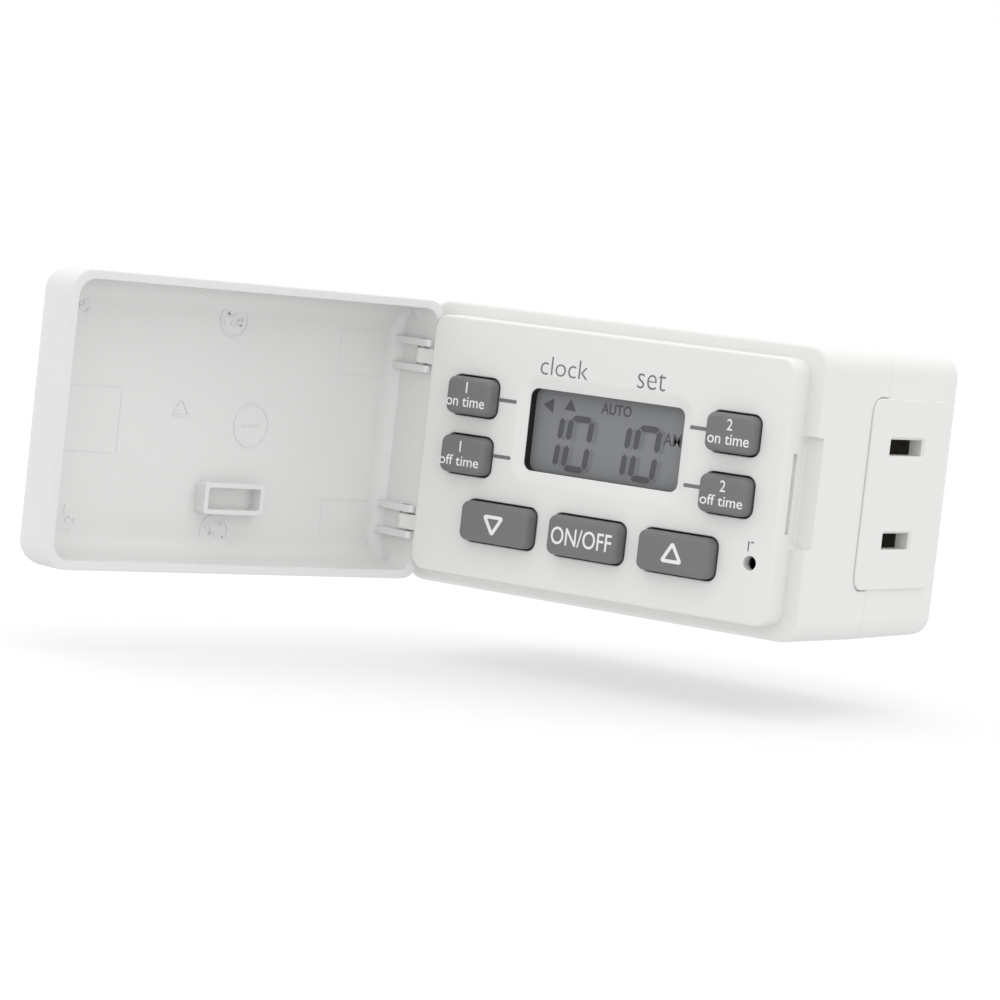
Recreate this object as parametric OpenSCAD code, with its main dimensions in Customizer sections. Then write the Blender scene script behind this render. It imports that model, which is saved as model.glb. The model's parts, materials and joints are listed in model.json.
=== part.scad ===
// Plug-in 24-hour digital timer with a side-hinged cover.
// Frame: origin on the wall face, midway between the plug blades.
// +X to the right as seen from the front, +Y back into the wall, +Z up.

/* [Casing] */
// Width of the casing
body_w = 63.2; // [60:0.1:80]
// Height of the casing
body_h = 39; // [38:0.1:50]
// Depth from the wall face to the front of the plateau
body_d = 40.8; // [40:0.1:52]
// Depth of the rear casing, from the wall face to the seam
rear_d = 19.8; // [19:0.1:22]
// Radius of the casing's corners, seen from the front
corner_r = 3; // [2:0.1:3.4]
// Wall thickness of both casings
wall = 1.8; // [1.5:0.1:2]
// Thickness of the wall that faces the outlet
rear_wall = 2.2; // [1.8:0.1:2.6]

/* [Plateau] */
// Height of the plateau above the flange that the cover closes on
plateau_h = 3.9; // [3.4:0.1:4.6]
// Step from the casing's side to the plateau, on the cover's free side
step_free = 2.1; // [1.9:0.1:2.6]
// Step from the casing's side to the plateau, above and below
step_edge = 1.95; // [1.8:0.05:2.4]
// Thickness of the plateau's front wall
face_wall = 1.6; // [1.3:0.1:2]
// Radius of the plateau's corners
plateau_r = 2; // [1:0.1:2.2]
// Length of the finger notch in the flange
notch_len = 14.8; // [10:0.1:18]
// Depth of the finger notch
notch_d = 1; // [0.6:0.1:1.4]
// Length of the groove that the cover's catch drops into
catch_len = 10.6; // [6:0.1:14]
// Width of that groove
catch_w = 1.2; // [0.9:0.1:1.5]

/* [Cover] */
// Depth of the cover from its rim to its front
cover_d = 8.8; // [8.5:0.1:9.4]
// Wall thickness of the cover's sides
cover_wall = 1.25; // [1:0.05:1.4]
// Thickness of the cover's front
cover_floor = 0.9; // [0.8:0.1:1.1]
// Radius of the cover's front edges
cover_edge_r = 4.3; // [1.8:0.1:4.5]
// Angle at which the cover stands open
cover_open = 103.7; // [0:0.1:120]
// Width of the hollow post inside the cover
post_w = 10.2; // [8:0.1:12]
// Height of the hollow post's frame, seen from the front
post_h = 4.3; // [3.6:0.1:5]
// Gap between the hollow post and the key under it when the cover is closed
post_gap = 0.15; // [0.1:0.05:0.6]

/* [Hinge] */
// Diameter of the hinge pins
pin_d = 1.2; // [1:0.1:1.3]
// Distance of the hinge axis in from the casing's side
hinge_in = 1.2; // [1.15:0.05:1.5]
// Distance of the hinge axis behind the plateau's front
hinge_back = 1.2; // [1:0.1:1.4]
// Width of each hinge finger
finger_w = 2.1; // [1.6:0.1:2.6]
// Thickness of each cover lug
lug_t = 1; // [0.8:0.1:1.4]
// Distance of the hinges above and below the middle
hinge_z = 11.5; // [9:0.1:12.5]

/* [Keys] */
// Width of a small key
small_w = 7.4; // [7:0.1:8.6]
// Height of a small key
small_h = 5.2; // [4.8:0.1:6]
// Width of a large key
large_w = 11.3; // [10:0.1:13]
// Height of a large key
large_h = 5.5; // [5.2:0.1:6.8]
// How far the keys stand out of the plateau
key_proud = 1.9; // [0.7:0.1:2]
// How far a key travels
key_travel = 0.7; // [0.5:0.05:0.7]
// Sideways shift of all the keys from the middle of the plateau
keys_x = -0.5; // [-0.6:0.1:0.6]
// Distance of the small keys from the middle of the keypad
small_x = 20.7; // [20:0.1:21.2]
// Height of the upper small keys
small_z1 = 6.95; // [6.5:0.05:8]
// Height of the lower small keys
small_z2 = -1.1; // [-1.6:0.05:-0.4]
// Spacing of the large keys
large_dx = 14.3; // [14:0.1:14.6]
// Height of the large keys
large_z = -9.8; // [-10:0.05:-9.6]

/* [Display] */
// Width of the display window
window_w = 25; // [22:0.1:26]
// Height of the display window
window_h = 11.2; // [9:0.1:12]
// Height of the window's middle
window_z = 3.65; // [3.2:0.05:4.2]
// Corner radius of the window
window_r = 1.2; // [0.6:0.1:2]
// Depth of the display glass behind the front of the plateau
glass_in = 2; // [1.9:0.1:2.2]

/* [Outlets] */
// Spacing of an outlet's two slots
slot_pitch = 12.7; // [12.7:0.1:12.7]
// Length of the neutral slot
neutral_len = 9.2; // [8.7:0.1:9.4]
// Length of the line slot
line_len = 7.6; // [7.1:0.1:8]
// Width of both slots
slot_w = 2.2; // [1.9:0.1:2.4]
// Distance of the slots from the wall face
slot_y = 13.5; // [12.5:0.1:14]
// Length of the outlet pad along the depth
pad_l = 21.3; // [19:0.1:22]
// Height of the outlet pad
pad_h = 25.8; // [24:0.1:27]
// How far the outlet pad stands out of the casing's side
pad_proud = 0.4; // [0.2:0.1:0.8]

/* [Plug] */
// Spacing of the plug blades
blade_pitch = 12.7; // [12.7:0.1:12.7]
// Thickness of the plug blades
blade_t = 1.5; // [1.4:0.1:1.6]
// Width of the line blade
line_blade_w = 6.35; // [6.2:0.05:6.5]
// Width of the neutral blade
neutral_blade_w = 7.94; // [7.8:0.02:8.1]
// How far the blades stand out of the wall face
blade_out = 16.5; // [15.5:0.1:18]
// Diameter of the hole near each blade's tip
blade_hole_d = 3.2; // [3:0.1:4]
// Distance of that hole from the wall face
blade_hole_y = 11.7; // [11:0.1:12.5]

/* [Clearances] */
// Gap between the cover's rim and the flange
rim_gap = 0.2; // [0.15:0.05:0.3]
// Gap around a key
key_gap = 0.2; // [0.2:0.05:0.35]
// Radial gap around a hinge pin
pin_gap = 0.05; // [0.03:0.01:0.08]
// Gap between pieces that slip together
fit_gap = 0.1; // [0.05:0.01:0.15]
// Gap between a hinge finger and the lugs beside it
side_gap = 0.25; // [0.2:0.05:0.4]

/* [Hidden] */
$fn = 48;
eps = 0.01;

white = "#e9e9e6";
grey_rubber = "#77777a";
black = "#18181a";
brass = "#c9a24b";
steel = "#b9bcc0";
board_green = "#2f6b3f";
tan_paper = "#b5915a";

// Depth planes, front to back
plateau_y = -body_d;
flange_y = plateau_y + plateau_h;
face_in_y = plateau_y + face_wall;
flange_in_y = flange_y + wall;
seam_y = -rear_d;
floor_y = -rear_wall;

// Plateau outline
step_hinge = hinge_in + plateau_h - hinge_back;
plateau_w = body_w - step_free - step_hinge;
plateau_hh = body_h - 2 * step_edge;
mid_x = (step_hinge - step_free) / 2;
free_x = body_w / 2 - step_free;

// Hinge axis
hinge_x = -body_w / 2 + hinge_in;
hinge_y = plateau_y + hinge_back;
boss_r = hinge_in - fit_gap;
lug_z = finger_w / 2 + side_gap + lug_t / 2;

// Cover, in its closed place
rim_y = flange_y - rim_gap;
cover_y = rim_y - cover_d;
cover_in_y = cover_y + cover_floor;
cover_h = body_h - 0.4;
catch_y = plateau_y + 2.6;
post_end_y = plateau_y - key_proud - post_gap;

// Display stack
glass_y = plateau_y + glass_in;
polarizer_t = 0.2;
lcd_t = 1.6;
board_t = 1.2;
bezel_lip = 0.35;
bezel_side_gap = 0.05;
bevel_w = 1.6;
bevel_in = 0.55;
lcd_w = window_w + 3;
lcd_h = window_h + 2.6;
lcd_frame_t = 1;
zebra_t = 1.5;
board_y = plateau_y + 5.8;
post_x = plateau_w / 2 - 4.3;
post_z = plateau_hh / 2 - 4.35;
board_w = plateau_w - 2 * face_wall - 1.4;
board_h = plateau_hh - 2 * face_wall - 1.4;

// Keypad
web_t = 0.7;
web_y = face_in_y + fit_gap;
web_hole = 0.8;
key_flange = 0.7;
key_flange_w = 0.5;
key_corner_r = 1;
key_flange_y = web_y + web_t - 0.5;
key_back_y = board_y - key_travel - 0.08;
reset_x = 24.5;
reset_z = -9.5;
reset_hole_r = 0.95;
reset_pin_r = 0.6;
reset_travel = 0.3;

// Casing screws
boss_x = body_w / 2 - 3.5;
boss_z = body_h / 2 - 3.4;
boss_r_front = 2.4;
boss_r_rear = 2.9;
screw_shank_r = 1.25;
screw_head_r = 2;
screw_seat_y = -6;
screw_tip_y = seam_y - 9;

// Power board and what stands on it
power_t = 1.6;
power_y = seam_y - 0.4;
slot_mid_z = 0.4;
neutral_z = slot_mid_z + slot_pitch / 2;
line_z = slot_mid_z - slot_pitch / 2;
contact_y = -slot_y;
pad_mid_y = -slot_y + 0.4;
pad_reach = pad_l / 2 - pad_mid_y - rear_d;
slot_lip = 0.35;
strip_t = 0.8;
relay_z = neutral_z + 6.1;
relay_w = 19;
relay_h = 9.2;
relay_d = 13.5;
relay_wall = 0.7;
relay_base_y = power_y - 1.4;
relay_hinge_x = -7.2;
relay_hinge_y = power_y + 11.3;

// ---- helpers ----

// A flat outline drawn in X and Z, made solid from y0 to y1
module slab_y(y0, y1) {
    translate([0, y1, 0])
        rotate([90, 0, 0])
            linear_extrude(y1 - y0) children();
}

module rrect(w, h, r) {
    square([w - 2 * r, h], center = true);
    square([w, h - 2 * r], center = true);
    for (sx = [-1, 1], sy = [-1, 1])
        translate([sx * (w / 2 - r), sy * (h / 2 - r)]) circle(r);
}

module block(w, y0, y1, h) {
    translate([-w / 2, y0, -h / 2]) cube([w, y1 - y0, h]);
}

module rod_y(r, y0, y1) {
    translate([0, y1, 0]) rotate([90, 0, 0]) cylinder(h = y1 - y0, r = r);
}

module rod_z(r, z0, z1) {
    translate([0, 0, z0]) cylinder(h = z1 - z0, r = r);
}

// A box whose two front edges on each side are rounded, front at y0
module crowned_box(w, h, y0, y1, r, edge_r) {
    intersection() {
        slab_y(y0, y1) rrect(w, h, r);
        linear_extrude(h + 2, center = true) crown_profile(w, y0, y1, edge_r);
        rotate([0, 90, 0])
            linear_extrude(w + 2, center = true)
                crown_profile(h, y0, y1, edge_r);
    }
}

module crown_profile(w, y0, y1, r) {
    translate([-w / 2, y0 + r]) square([w, y1 - y0 - r]);
    translate([-w / 2 + r, y0]) square([w - 2 * r, y1 - y0]);
    for (s = [-1, 1]) translate([s * (w / 2 - r), y0 + r]) circle(r);
}

// ---- keys ----

function key_spot(i) =
    i == 0 ? [keys_x - small_x, small_z1] :
    i == 1 ? [keys_x - small_x, small_z2] :
    i == 2 ? [keys_x + small_x, small_z1] :
    i == 3 ? [keys_x + small_x, small_z2] :
    [keys_x + (i - 5) * large_dx, large_z];
function key_w(i) = i < 4 ? small_w : large_w;
function key_h(i) = i < 4 ? small_h : large_h;

module at_key(i) {
    translate([mid_x + key_spot(i)[0], 0, key_spot(i)[1]]) children();
}

module key(i) {
    color(grey_rubber) at_key(i) {
        slab_y(plateau_y - key_proud, key_flange_y + eps)
            rrect(key_w(i), key_h(i), key_corner_r);
        slab_y(key_flange_y, key_flange_y + key_flange)
            rrect(key_w(i) + 2 * key_flange_w, key_h(i) + 2 * key_flange_w, key_corner_r);
        slab_y(key_flange_y + key_flange - eps, key_back_y)
            rrect(key_w(i) - 2, key_h(i) - 2, 0.8);
    }
}

// ---- casings ----

module front_shell() {
    difference() {
        union() {
            slab_y(flange_y, seam_y) rrect(body_w, body_h, corner_r);
            translate([mid_x, 0, 0])
                crowned_box(plateau_w, plateau_hh, plateau_y, flange_y + eps, plateau_r, 0.6);
            hinge_fingers();
        }
        slab_y(flange_in_y, seam_y + 1)
            rrect(body_w - 2 * wall, body_h - 2 * wall, corner_r - wall / 2);
        translate([mid_x, 0, 0])
            slab_y(face_in_y, flange_in_y + eps)
                rrect(plateau_w - 2 * face_wall, plateau_hh - 2 * face_wall, plateau_r / 2);
    }
}

module hinge_fingers() {
    for (s = [-1, 1]) translate([hinge_x, hinge_y, s * hinge_z]) {
        rod_z(boss_r, -finger_w / 2, finger_w / 2);
        translate([0, -boss_r, -finger_w / 2]) cube([step_hinge - hinge_in + 1, 2 * boss_r, finger_w]);
        rod_z(pin_d / 2, -finger_w / 2 - side_gap - lug_t, finger_w / 2 + side_gap + lug_t);
    }
}

module window_cut() {
    translate([mid_x, 0, window_z]) {
        slab_y(plateau_y - 1, face_in_y + 1)
            rrect(window_w + 2 * bezel_lip, window_h + 2 * bezel_lip, window_r + bezel_lip);
        hull() {
            slab_y(plateau_y - eps, plateau_y)
                rrect(window_w + 2 * bevel_w, window_h + 2 * bevel_w, window_r + bevel_w, $fn = 32);
            slab_y(plateau_y + bevel_in, plateau_y + bevel_in + eps)
                rrect(window_w + 2 * bezel_lip, window_h + 2 * bezel_lip, window_r + bezel_lip, $fn = 32);
        }
    }
}

module side_notches(gap) {
    for (s = [-1, 1])
        translate([s * body_w / 2, 0, slot_mid_z])
            translate([-wall - 1, seam_y - pad_reach - gap, -pad_h / 2 - gap])
                cube([2 * wall + 2, pad_reach + gap + 1, pad_h + 2 * gap]);
}

module front_bosses() {
    for (sx = [-1, 1], sz = [-1, 1])
        translate([sx * boss_x, 0, sz * boss_z]) rod_y(boss_r_front, flange_in_y - eps, seam_y - fit_gap);
    translate([mid_x, 0, 0])
        for (sx = [-1, 1], sz = [-1, 1])
            translate([sx * post_x, 0, sz * post_z]) rod_y(1.7, face_in_y - eps, board_y);
}

module front_casing() {
    color(white) difference() {
        union() {
            front_shell();
            intersection() {
                front_bosses();
                union() {
                    slab_y(flange_y + 0.5, seam_y) rrect(body_w - 1, body_h - 1, corner_r - 0.5);
                    translate([mid_x, 0, 0])
                        slab_y(plateau_y + 0.5, flange_y + 1) rrect(plateau_w - 1, plateau_hh - 1, 1);
                }
            }
        }
        window_cut();
        for (i = [0:6]) at_key(i)
            slab_y(plateau_y - 1, face_in_y + 1)
                rrect(key_w(i) + 2 * key_gap, key_h(i) + 2 * key_gap, key_corner_r + key_gap);
        translate([mid_x + reset_x, 0, reset_z]) rod_y(reset_hole_r, plateau_y - 1, face_in_y + 1);
        // catch groove and finger notch
        translate([free_x - 0.8, catch_y - catch_w / 2, -catch_len / 2])
            cube([2, catch_w, catch_len]);
        translate([free_x, flange_y - 1, -notch_len / 2 + 0.3])
            cube([step_free + 1, 1 + notch_d, notch_len]);
        // relief for the cover's hinge wall as it swings back
        translate([hinge_x, hinge_y, 0])
            linear_extrude(body_h + 2, center = true)
                polygon([[0.3, plateau_h - hinge_back - eps], [-hinge_in - 1, plateau_h - hinge_back - 1],
                    [-hinge_in - 1, plateau_h - hinge_back + 1.7]]);
        side_notches(fit_gap);
        // pilot holes
        for (sx = [-1, 1], sz = [-1, 1])
            translate([sx * boss_x, 0, sz * boss_z])
                rod_y(screw_shank_r - 0.15, screw_tip_y - 1, seam_y + 1);
        for (sx = [-1, 1], sz = [-1, 1])
            translate([mid_x + sx * post_x, 0, sz * post_z])
                rod_y(0.75, board_y - 3.2, board_y + 1);
    }
}

module outlet_slots() {
    for (s = [-1, 1]) translate([s * body_w / 2, contact_y, 0])
        for (k = [[neutral_z, neutral_len], [line_z, line_len]]) translate([0, 0, k[0]]) {
            cube([4 * wall, k[1], slot_w], center = true);
            translate([s * pad_proud, 0, 0])
                cube([2 * slot_lip, k[1] + 2 * slot_lip, slot_w + 2 * slot_lip], center = true);
        }
}

module outlet_pad(s) {
    x0 = body_w / 2 - wall + 0.3;
    translate([s > 0 ? x0 : -x0 - wall + 0.3 - pad_proud, pad_mid_y - pad_l / 2, slot_mid_z - pad_h / 2])
        cube([wall - 0.3 + pad_proud, pad_l, pad_h]);
}

module rear_casing() {
    color(white) difference() {
        union() {
            difference() {
                slab_y(seam_y, 0) rrect(body_w, body_h, corner_r);
                slab_y(seam_y - 1, floor_y)
                    rrect(body_w - 2 * wall, body_h - 2 * wall, corner_r - wall / 2);
            }
            outlet_pad(1);
            outlet_pad(-1);
            intersection() {
                for (sx = [-1, 1], sz = [-1, 1])
                    translate([sx * boss_x, 0, sz * boss_z]) rod_y(boss_r_rear, seam_y, floor_y + eps);
                slab_y(seam_y, 0) rrect(body_w - 1, body_h - 1, corner_r - 0.5);
            }
        }
        outlet_slots();
        blade_holes(fit_gap, floor_y - 1, 1);
        for (sx = [-1, 1], sz = [-1, 1]) translate([sx * boss_x, 0, sz * boss_z]) {
            rod_y(screw_shank_r + fit_gap, seam_y - 1, 1);
            rod_y(screw_head_r + fit_gap, screw_seat_y, 1);
        }
    }
}

module blade_holes(gap, y0, y1) {
    for (k = [[-1, neutral_blade_w], [1, line_blade_w]])
        translate([k[0] * blade_pitch / 2, 0, 0])
            block(blade_t + 2 * gap, y0, y1, k[1] + 2 * gap);
}

module case_screws() {
    color(steel) for (sx = [-1, 1], sz = [-1, 1]) translate([sx * boss_x, 0, sz * boss_z])
        difference() {
            union() {
                rod_y(screw_head_r, screw_seat_y, screw_seat_y + 1.4);
                rod_y(screw_shank_r, screw_tip_y, screw_seat_y + eps);
            }
            for (a = [0, 90]) rotate([0, a, 0]) block(0.5, screw_seat_y + 0.6, screw_seat_y + 2, 2.2);
        }
}

// ---- cover ----

module opened() {
    translate([hinge_x, hinge_y, 0]) rotate([0, 0, -cover_open])
        translate([-hinge_x, -hinge_y, 0]) children();
}

module lid_shell() {
    difference() {
        crowned_box(body_w, cover_h, cover_y, rim_y, corner_r, cover_edge_r);
        crowned_box(body_w - 2 * cover_wall, cover_h - 2 * cover_wall, cover_in_y, rim_y + 1,
            corner_r - cover_wall, cover_edge_r - cover_floor);
    }
}

module lid_post() {
    translate([mid_x - 3, 0, large_z - 0.1]) difference() {
        slab_y(cover_in_y - eps, post_end_y) rrect(post_w, post_h, 0.5);
        slab_y(cover_in_y, post_end_y + 1) rrect(post_w - 1.4, post_h - 1.4, 0.2);
    }
}

module lid() {
    color(white) opened() difference() {
        union() {
            difference() {
                lid_shell();
                // slots for the hinge fingers, open at the rim
                for (s = [-1, 1]) translate([hinge_x, hinge_y, s * hinge_z]) {
                    translate([-hinge_in - 1, 0, -finger_w / 2 - side_gap])
                        cube([hinge_in + 1.5, plateau_h + 1, finger_w + 2 * side_gap]);
                    rod_z(boss_r + fit_gap + 0.15, -finger_w / 2 - side_gap, finger_w / 2 + side_gap);
                }
            }
            lid_post();
            // catch on the free side
            translate([body_w / 2 - cover_wall - 0.7, catch_y - 0.4, -catch_len / 2 + 0.5])
                cube([0.7 + eps, 0.8, catch_len - 1]);
            // lugs on both sides of each finger
            for (s = [-1, 1], t = [-1, 1])
                translate([-body_w / 2 + cover_wall - eps, cover_in_y - eps, s * hinge_z + t * lug_z])
                    translate([0, 0, -lug_t / 2]) cube([1.1, hinge_y - cover_in_y + 1.9, lug_t]);
        }
        // holes for the pins
        for (s = [-1, 1]) translate([hinge_x, hinge_y, s * hinge_z])
            rod_z(pin_d / 2 + pin_gap, -lug_z - lug_t / 2 - 0.3, lug_z + lug_t / 2 + 0.3);
        // the hinge wall's rim is eased where it swings past the flange
        translate([-body_w / 2, rim_y, 0]) rotate([0, 0, 45])
            cube([1.1, 1.1, body_h + 2], center = true);
    }
}

// ---- keypad ----

module keypad_web() {
    color(grey_rubber) translate([mid_x, 0, 0]) difference() {
        slab_y(web_y, web_y + web_t) rrect(board_w, board_h, 1);
        for (i = [0:6]) translate([key_spot(i)[0], 0, key_spot(i)[1]])
            slab_y(web_y - 1, web_y + 2)
                rrect(key_w(i) + 2 * web_hole, key_h(i) + 2 * web_hole, key_corner_r);
        translate([0, 0, window_z])
            slab_y(web_y - 1, web_y + 2)
                rrect(lcd_w + 2 * lcd_frame_t + 0.6, lcd_h + 2 * lcd_frame_t + 0.6, 1);
        for (sx = [-1, 1], sz = [-1, 1])
            translate([sx * post_x, 0, sz * post_z]) rod_y(1.9, web_y - 1, web_y + 2);
        translate([reset_x, 0, reset_z]) rod_y(reset_hole_r + 0.25, web_y - 1, web_y + 2);
    }
}

// ---- display ----

module display_bezel() {
    color(black) translate([mid_x, 0, window_z]) difference() {
        union() {
            slab_y(plateau_y + bevel_in, glass_y)
                rrect(window_w + 2 * bezel_lip - 2 * bezel_side_gap,
                    window_h + 2 * bezel_lip - 2 * bezel_side_gap, window_r + bezel_lip - bezel_side_gap);
            slab_y(face_in_y + 0.02, glass_y) rrect(lcd_w, lcd_h, 0.6);
        }
        slab_y(plateau_y, glass_y + 1) rrect(window_w, window_h, window_r);
    }
}

module display_layer(y0, t, inset) {
    translate([mid_x, 0, window_z]) block(lcd_w - 2 * inset, y0, y0 + t, lcd_h - 2 * inset);
}

module front_polarizer() {
    color("#9ba39b") display_layer(glass_y, polarizer_t, 0.8);
}

module lcd_glass() {
    color("#8f9790") display_layer(glass_y + polarizer_t, lcd_t, 0);
}

module lcd_reflector() {
    color("#a9aca6") display_layer(glass_y + polarizer_t + lcd_t, polarizer_t, zebra_t + 0.2);
}

module lcd_frame() {
    color(black) translate([mid_x, 0, window_z]) difference() {
        block(lcd_w + 2 * lcd_frame_t, glass_y, board_y, lcd_h + 2 * lcd_frame_t);
        block(lcd_w + 2 * fit_gap, glass_y - 1, board_y + 1, lcd_h + 2 * fit_gap);
    }
}

module zebra_strip() {
    color("#d8b9b0") translate([mid_x, 0, window_z + lcd_h / 2 - zebra_t / 2])
        block(lcd_w - 2, glass_y + polarizer_t + lcd_t, board_y, zebra_t);
}

// ---- control board ----

module control_board() {
    color(board_green) translate([mid_x, 0, 0]) difference() {
        slab_y(board_y, board_y + board_t) rrect(board_w, board_h, 1.5);
        for (sx = [-1, 1], sz = [-1, 1])
            translate([sx * post_x, 0, sz * post_z]) rod_y(1.1, board_y - 1, board_y + 2);
        for (sx = [-1, 1], sz = [-1, 1])
            translate([sx * boss_x - mid_x, 0, sz * boss_z])
                rod_y(boss_r_front + 0.5, board_y - 1, board_y + 2);
    }
}

module key_contacts() {
    color(brass) for (i = [0:6]) at_key(i)
        difference() {
            block(key_w(i) - 3, board_y - 0.04, board_y, key_h(i) - 2.6);
            block(0.3, board_y - 1, board_y + 1, key_h(i));
        }
}

module board_screws() {
    color(steel) for (sx = [-1, 1], sz = [-1, 1])
        translate([mid_x + sx * post_x, 0, sz * post_z]) difference() {
            union() {
                rod_y(1.7, board_y + board_t, board_y + board_t + 1);
                rod_y(0.9, board_y - 2.8, board_y + board_t + eps);
            }
            for (a = [0, 90])
                rotate([0, a, 0]) block(0.35, board_y + board_t + 0.4, board_y + board_t + 2, 1.8);
        }
}

module control_chip() {
    color(black) translate([mid_x + 2, 0, 2]) {
        rod_y(4, board_y + board_t, board_y + board_t + 0.5);
        rod_y(3.2, board_y + board_t, board_y + board_t + 0.9);
    }
}

module clock_crystal() {
    color(steel) translate([mid_x - 10, board_y + board_t + 1.02, -9])
        rotate([0, 90, 0]) cylinder(h = 6, r = 1);
}

module reset_switch_body() {
    color(steel) translate([mid_x + reset_x, 0, reset_z]) difference() {
        block(3, board_y - 1.8, board_y, 3);
        rod_y(reset_pin_r + fit_gap, board_y - 2, board_y - 0.4);
    }
}

module reset_plunger() {
    color(black) translate([mid_x + reset_x, 0, reset_z])
        rod_y(reset_pin_r, board_y - 2.5, board_y - 0.5 - reset_travel);
}

module backup_cell() {
    color(steel) translate([mid_x - 14, 0, 5]) {
        rod_y(5.75, board_y + board_t + 0.6, board_y + board_t + 5);
        rod_y(4.9, board_y + board_t + 0.6, board_y + board_t + 5.4);
    }
}

module cell_tabs() {
    y0 = board_y + board_t;
    color(brass) translate([mid_x - 14, 0, 5]) {
        translate([-7, y0 + 0.3, -1.5]) cube([14, 0.3, 3]);
        translate([-7, y0, -1.5]) cube([0.4, 0.4, 3]);
        translate([-2, y0 + 5.4, -1]) cube([10.4, 0.3, 2]);
        translate([8, y0, -1]) cube([0.4, 5.4 + eps, 2]);
    }
}

// ---- power board ----

module power_board() {
    color(tan_paper) difference() {
        slab_y(power_y - power_t, power_y)
            rrect(body_w - 2 * wall - 0.8, body_h - 2 * wall - 0.8, 1.5);
        for (sx = [-1, 1], sz = [-1, 1])
            translate([sx * boss_x, 0, sz * boss_z]) rod_y(boss_r_rear + 0.2, power_y - 3, power_y + 1);
    }
}

module board_link() {
    color(black) translate([mid_x + 16, 0, -12]) block(10, board_y + board_t, power_y - power_t, 1.6);
}

module relay_base() {
    color("#274f8c") translate([0, 0, relay_z]) block(relay_w, power_y, power_y + 1.2, relay_h);
}

module relay_case() {
    color("#3a6db5") translate([0, 0, relay_z]) difference() {
        block(relay_w, power_y + 1.2, power_y + relay_d, relay_h);
        block(relay_w - 2 * relay_wall, power_y, power_y + relay_d - relay_wall, relay_h - 2 * relay_wall);
    }
}

module relay_coil() {
    color("#b5602d") translate([-2, 0, relay_z]) difference() {
        union() {
            rod_y(3.2, power_y + 2.4, power_y + 10);
            rod_y(3.7, power_y + 1.8, power_y + 2.5);
            rod_y(3.7, power_y + 9.9, power_y + 10.5);
        }
        rod_y(1.3, power_y, power_y + 12);
    }
}

module relay_core() {
    color(steel) translate([-2, 0, relay_z]) rod_y(1.25, power_y + 1.8, power_y + 10.8);
}

module relay_yoke() {
    color(steel) translate([0, 0, relay_z]) {
        translate([relay_hinge_x - 0.5, power_y + 1.2, -2.6]) cube([1, relay_hinge_y - power_y - 1.5, 5.2]);
        translate([relay_hinge_x - 0.5, power_y + 1.2, -2.6]) cube([8, 0.6, 5.2]);
    }
}

module relay_armature() {
    color(steel) translate([0, 0, relay_z])
        translate([relay_hinge_x - 0.4, relay_hinge_y - 0.2, -2.6]) cube([9.5, 0.6, 5.2]);
}

module relay_contact_spring() {
    color(brass) translate([0, 0, relay_z]) {
        translate([relay_hinge_x + 3, relay_hinge_y + 0.4, -1.5]) cube([12.4, 0.15, 3]);
        translate([6.8, 0, 0]) rod_y(0.9, relay_hinge_y - 0.3, relay_hinge_y + 0.5);
    }
}

module relay_fixed_contacts() {
    color(brass) translate([6.8, 0, relay_z]) {
        rod_y(0.9, relay_hinge_y - 1.3, relay_hinge_y - 0.75);
        translate([-1, relay_hinge_y - 1.7, -1.2]) cube([2, 0.4 + eps, 2.4]);
        translate([0.6, power_y + 1.2, -1.2]) cube([0.4, relay_hinge_y - power_y - 2.6, 2.4]);
    }
}

module dropper_capacitor() {
    color("#c8a23a") translate([0, 0, line_z - 6]) block(18, power_y, power_y + 12, 8.4);
}

module filter_capacitor() {
    color("#23323f") translate([mid_x + 12, 0, 8]) rod_y(4, power_y - power_t - 8.4, power_y - power_t);
}

module series_resistor() {
    color("#8c7b62") translate([-22, power_y + 1.9, -13.6]) rotate([0, 90, 0]) rod_z(1.8, 0, 10);
}

module rectifier_diodes() {
    color(black) for (i = [0:3]) translate([mid_x - 8 + 4 * i, power_y - power_t - 1.4, -10.5])
        rod_z(1.35, -2.6, 2.6);
}

module surge_varistor() {
    color("#2d58a8") translate([18, power_y + 6, 13.4])
        intersection() {
            rotate([0, 90, 90]) cylinder(h = 4, r = 3.6, center = true);
            cube([12, 4, 12], center = true);
        }
}

// ---- plug and outlets ----

module blade(w, tail_z0, tail_z1) {
    taper = 1.5;
    rotate([90, 0, 90]) translate([0, 0, -blade_t / 2]) linear_extrude(blade_t)
        difference() {
            blade_outline(w, taper, tail_z0, tail_z1);
            translate([blade_hole_y, 0]) circle(blade_hole_d / 2);
        }
}

module blade_outline(w, taper, tail_z0, tail_z1) {
    polygon([[contact_y + 3.5, -w / 2], [blade_out - taper, -w / 2], [blade_out, -w / 2 + taper],
        [blade_out, w / 2 - taper], [blade_out - taper, w / 2], [contact_y + 3.5, w / 2]]);
    translate([contact_y - 2, tail_z0]) square([6, tail_z1 - tail_z0]);
}

module neutral_blade() {
    color(brass) translate([-blade_pitch / 2, 0, 0])
        blade(neutral_blade_w, 0, neutral_z - strip_t / 2);
}

module line_blade() {
    color(brass) translate([blade_pitch / 2, 0, 0]) blade(line_blade_w, -2.6, 2.6);
}

module blade_holder() {
    color(black) difference() {
        slab_y(floor_y - 2.6, floor_y) rrect(26, 14, 1);
        blade_holes(fit_gap, floor_y - 4, floor_y + 1);
    }
}

module contact_strip(len, reach) {
    leaf_in = slot_w / 2 - 0.35;
    difference() {
        union() {
            block(2 * reach, contact_y - len / 2 + 0.6, contact_y + len / 2 - 0.6, strip_t);
            for (s = [-1, 1]) translate([s * (reach + 4), 0, 0]) {
                block(10, contact_y - len / 2 + 0.6, contact_y + len / 2 - 0.6, 2 * leaf_in + 0.8);
            }
        }
        for (s = [-1, 1]) translate([s * (reach + 5), 0, 0])
            block(10, contact_y - len, contact_y + len, 2 * leaf_in);
    }
}

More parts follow.
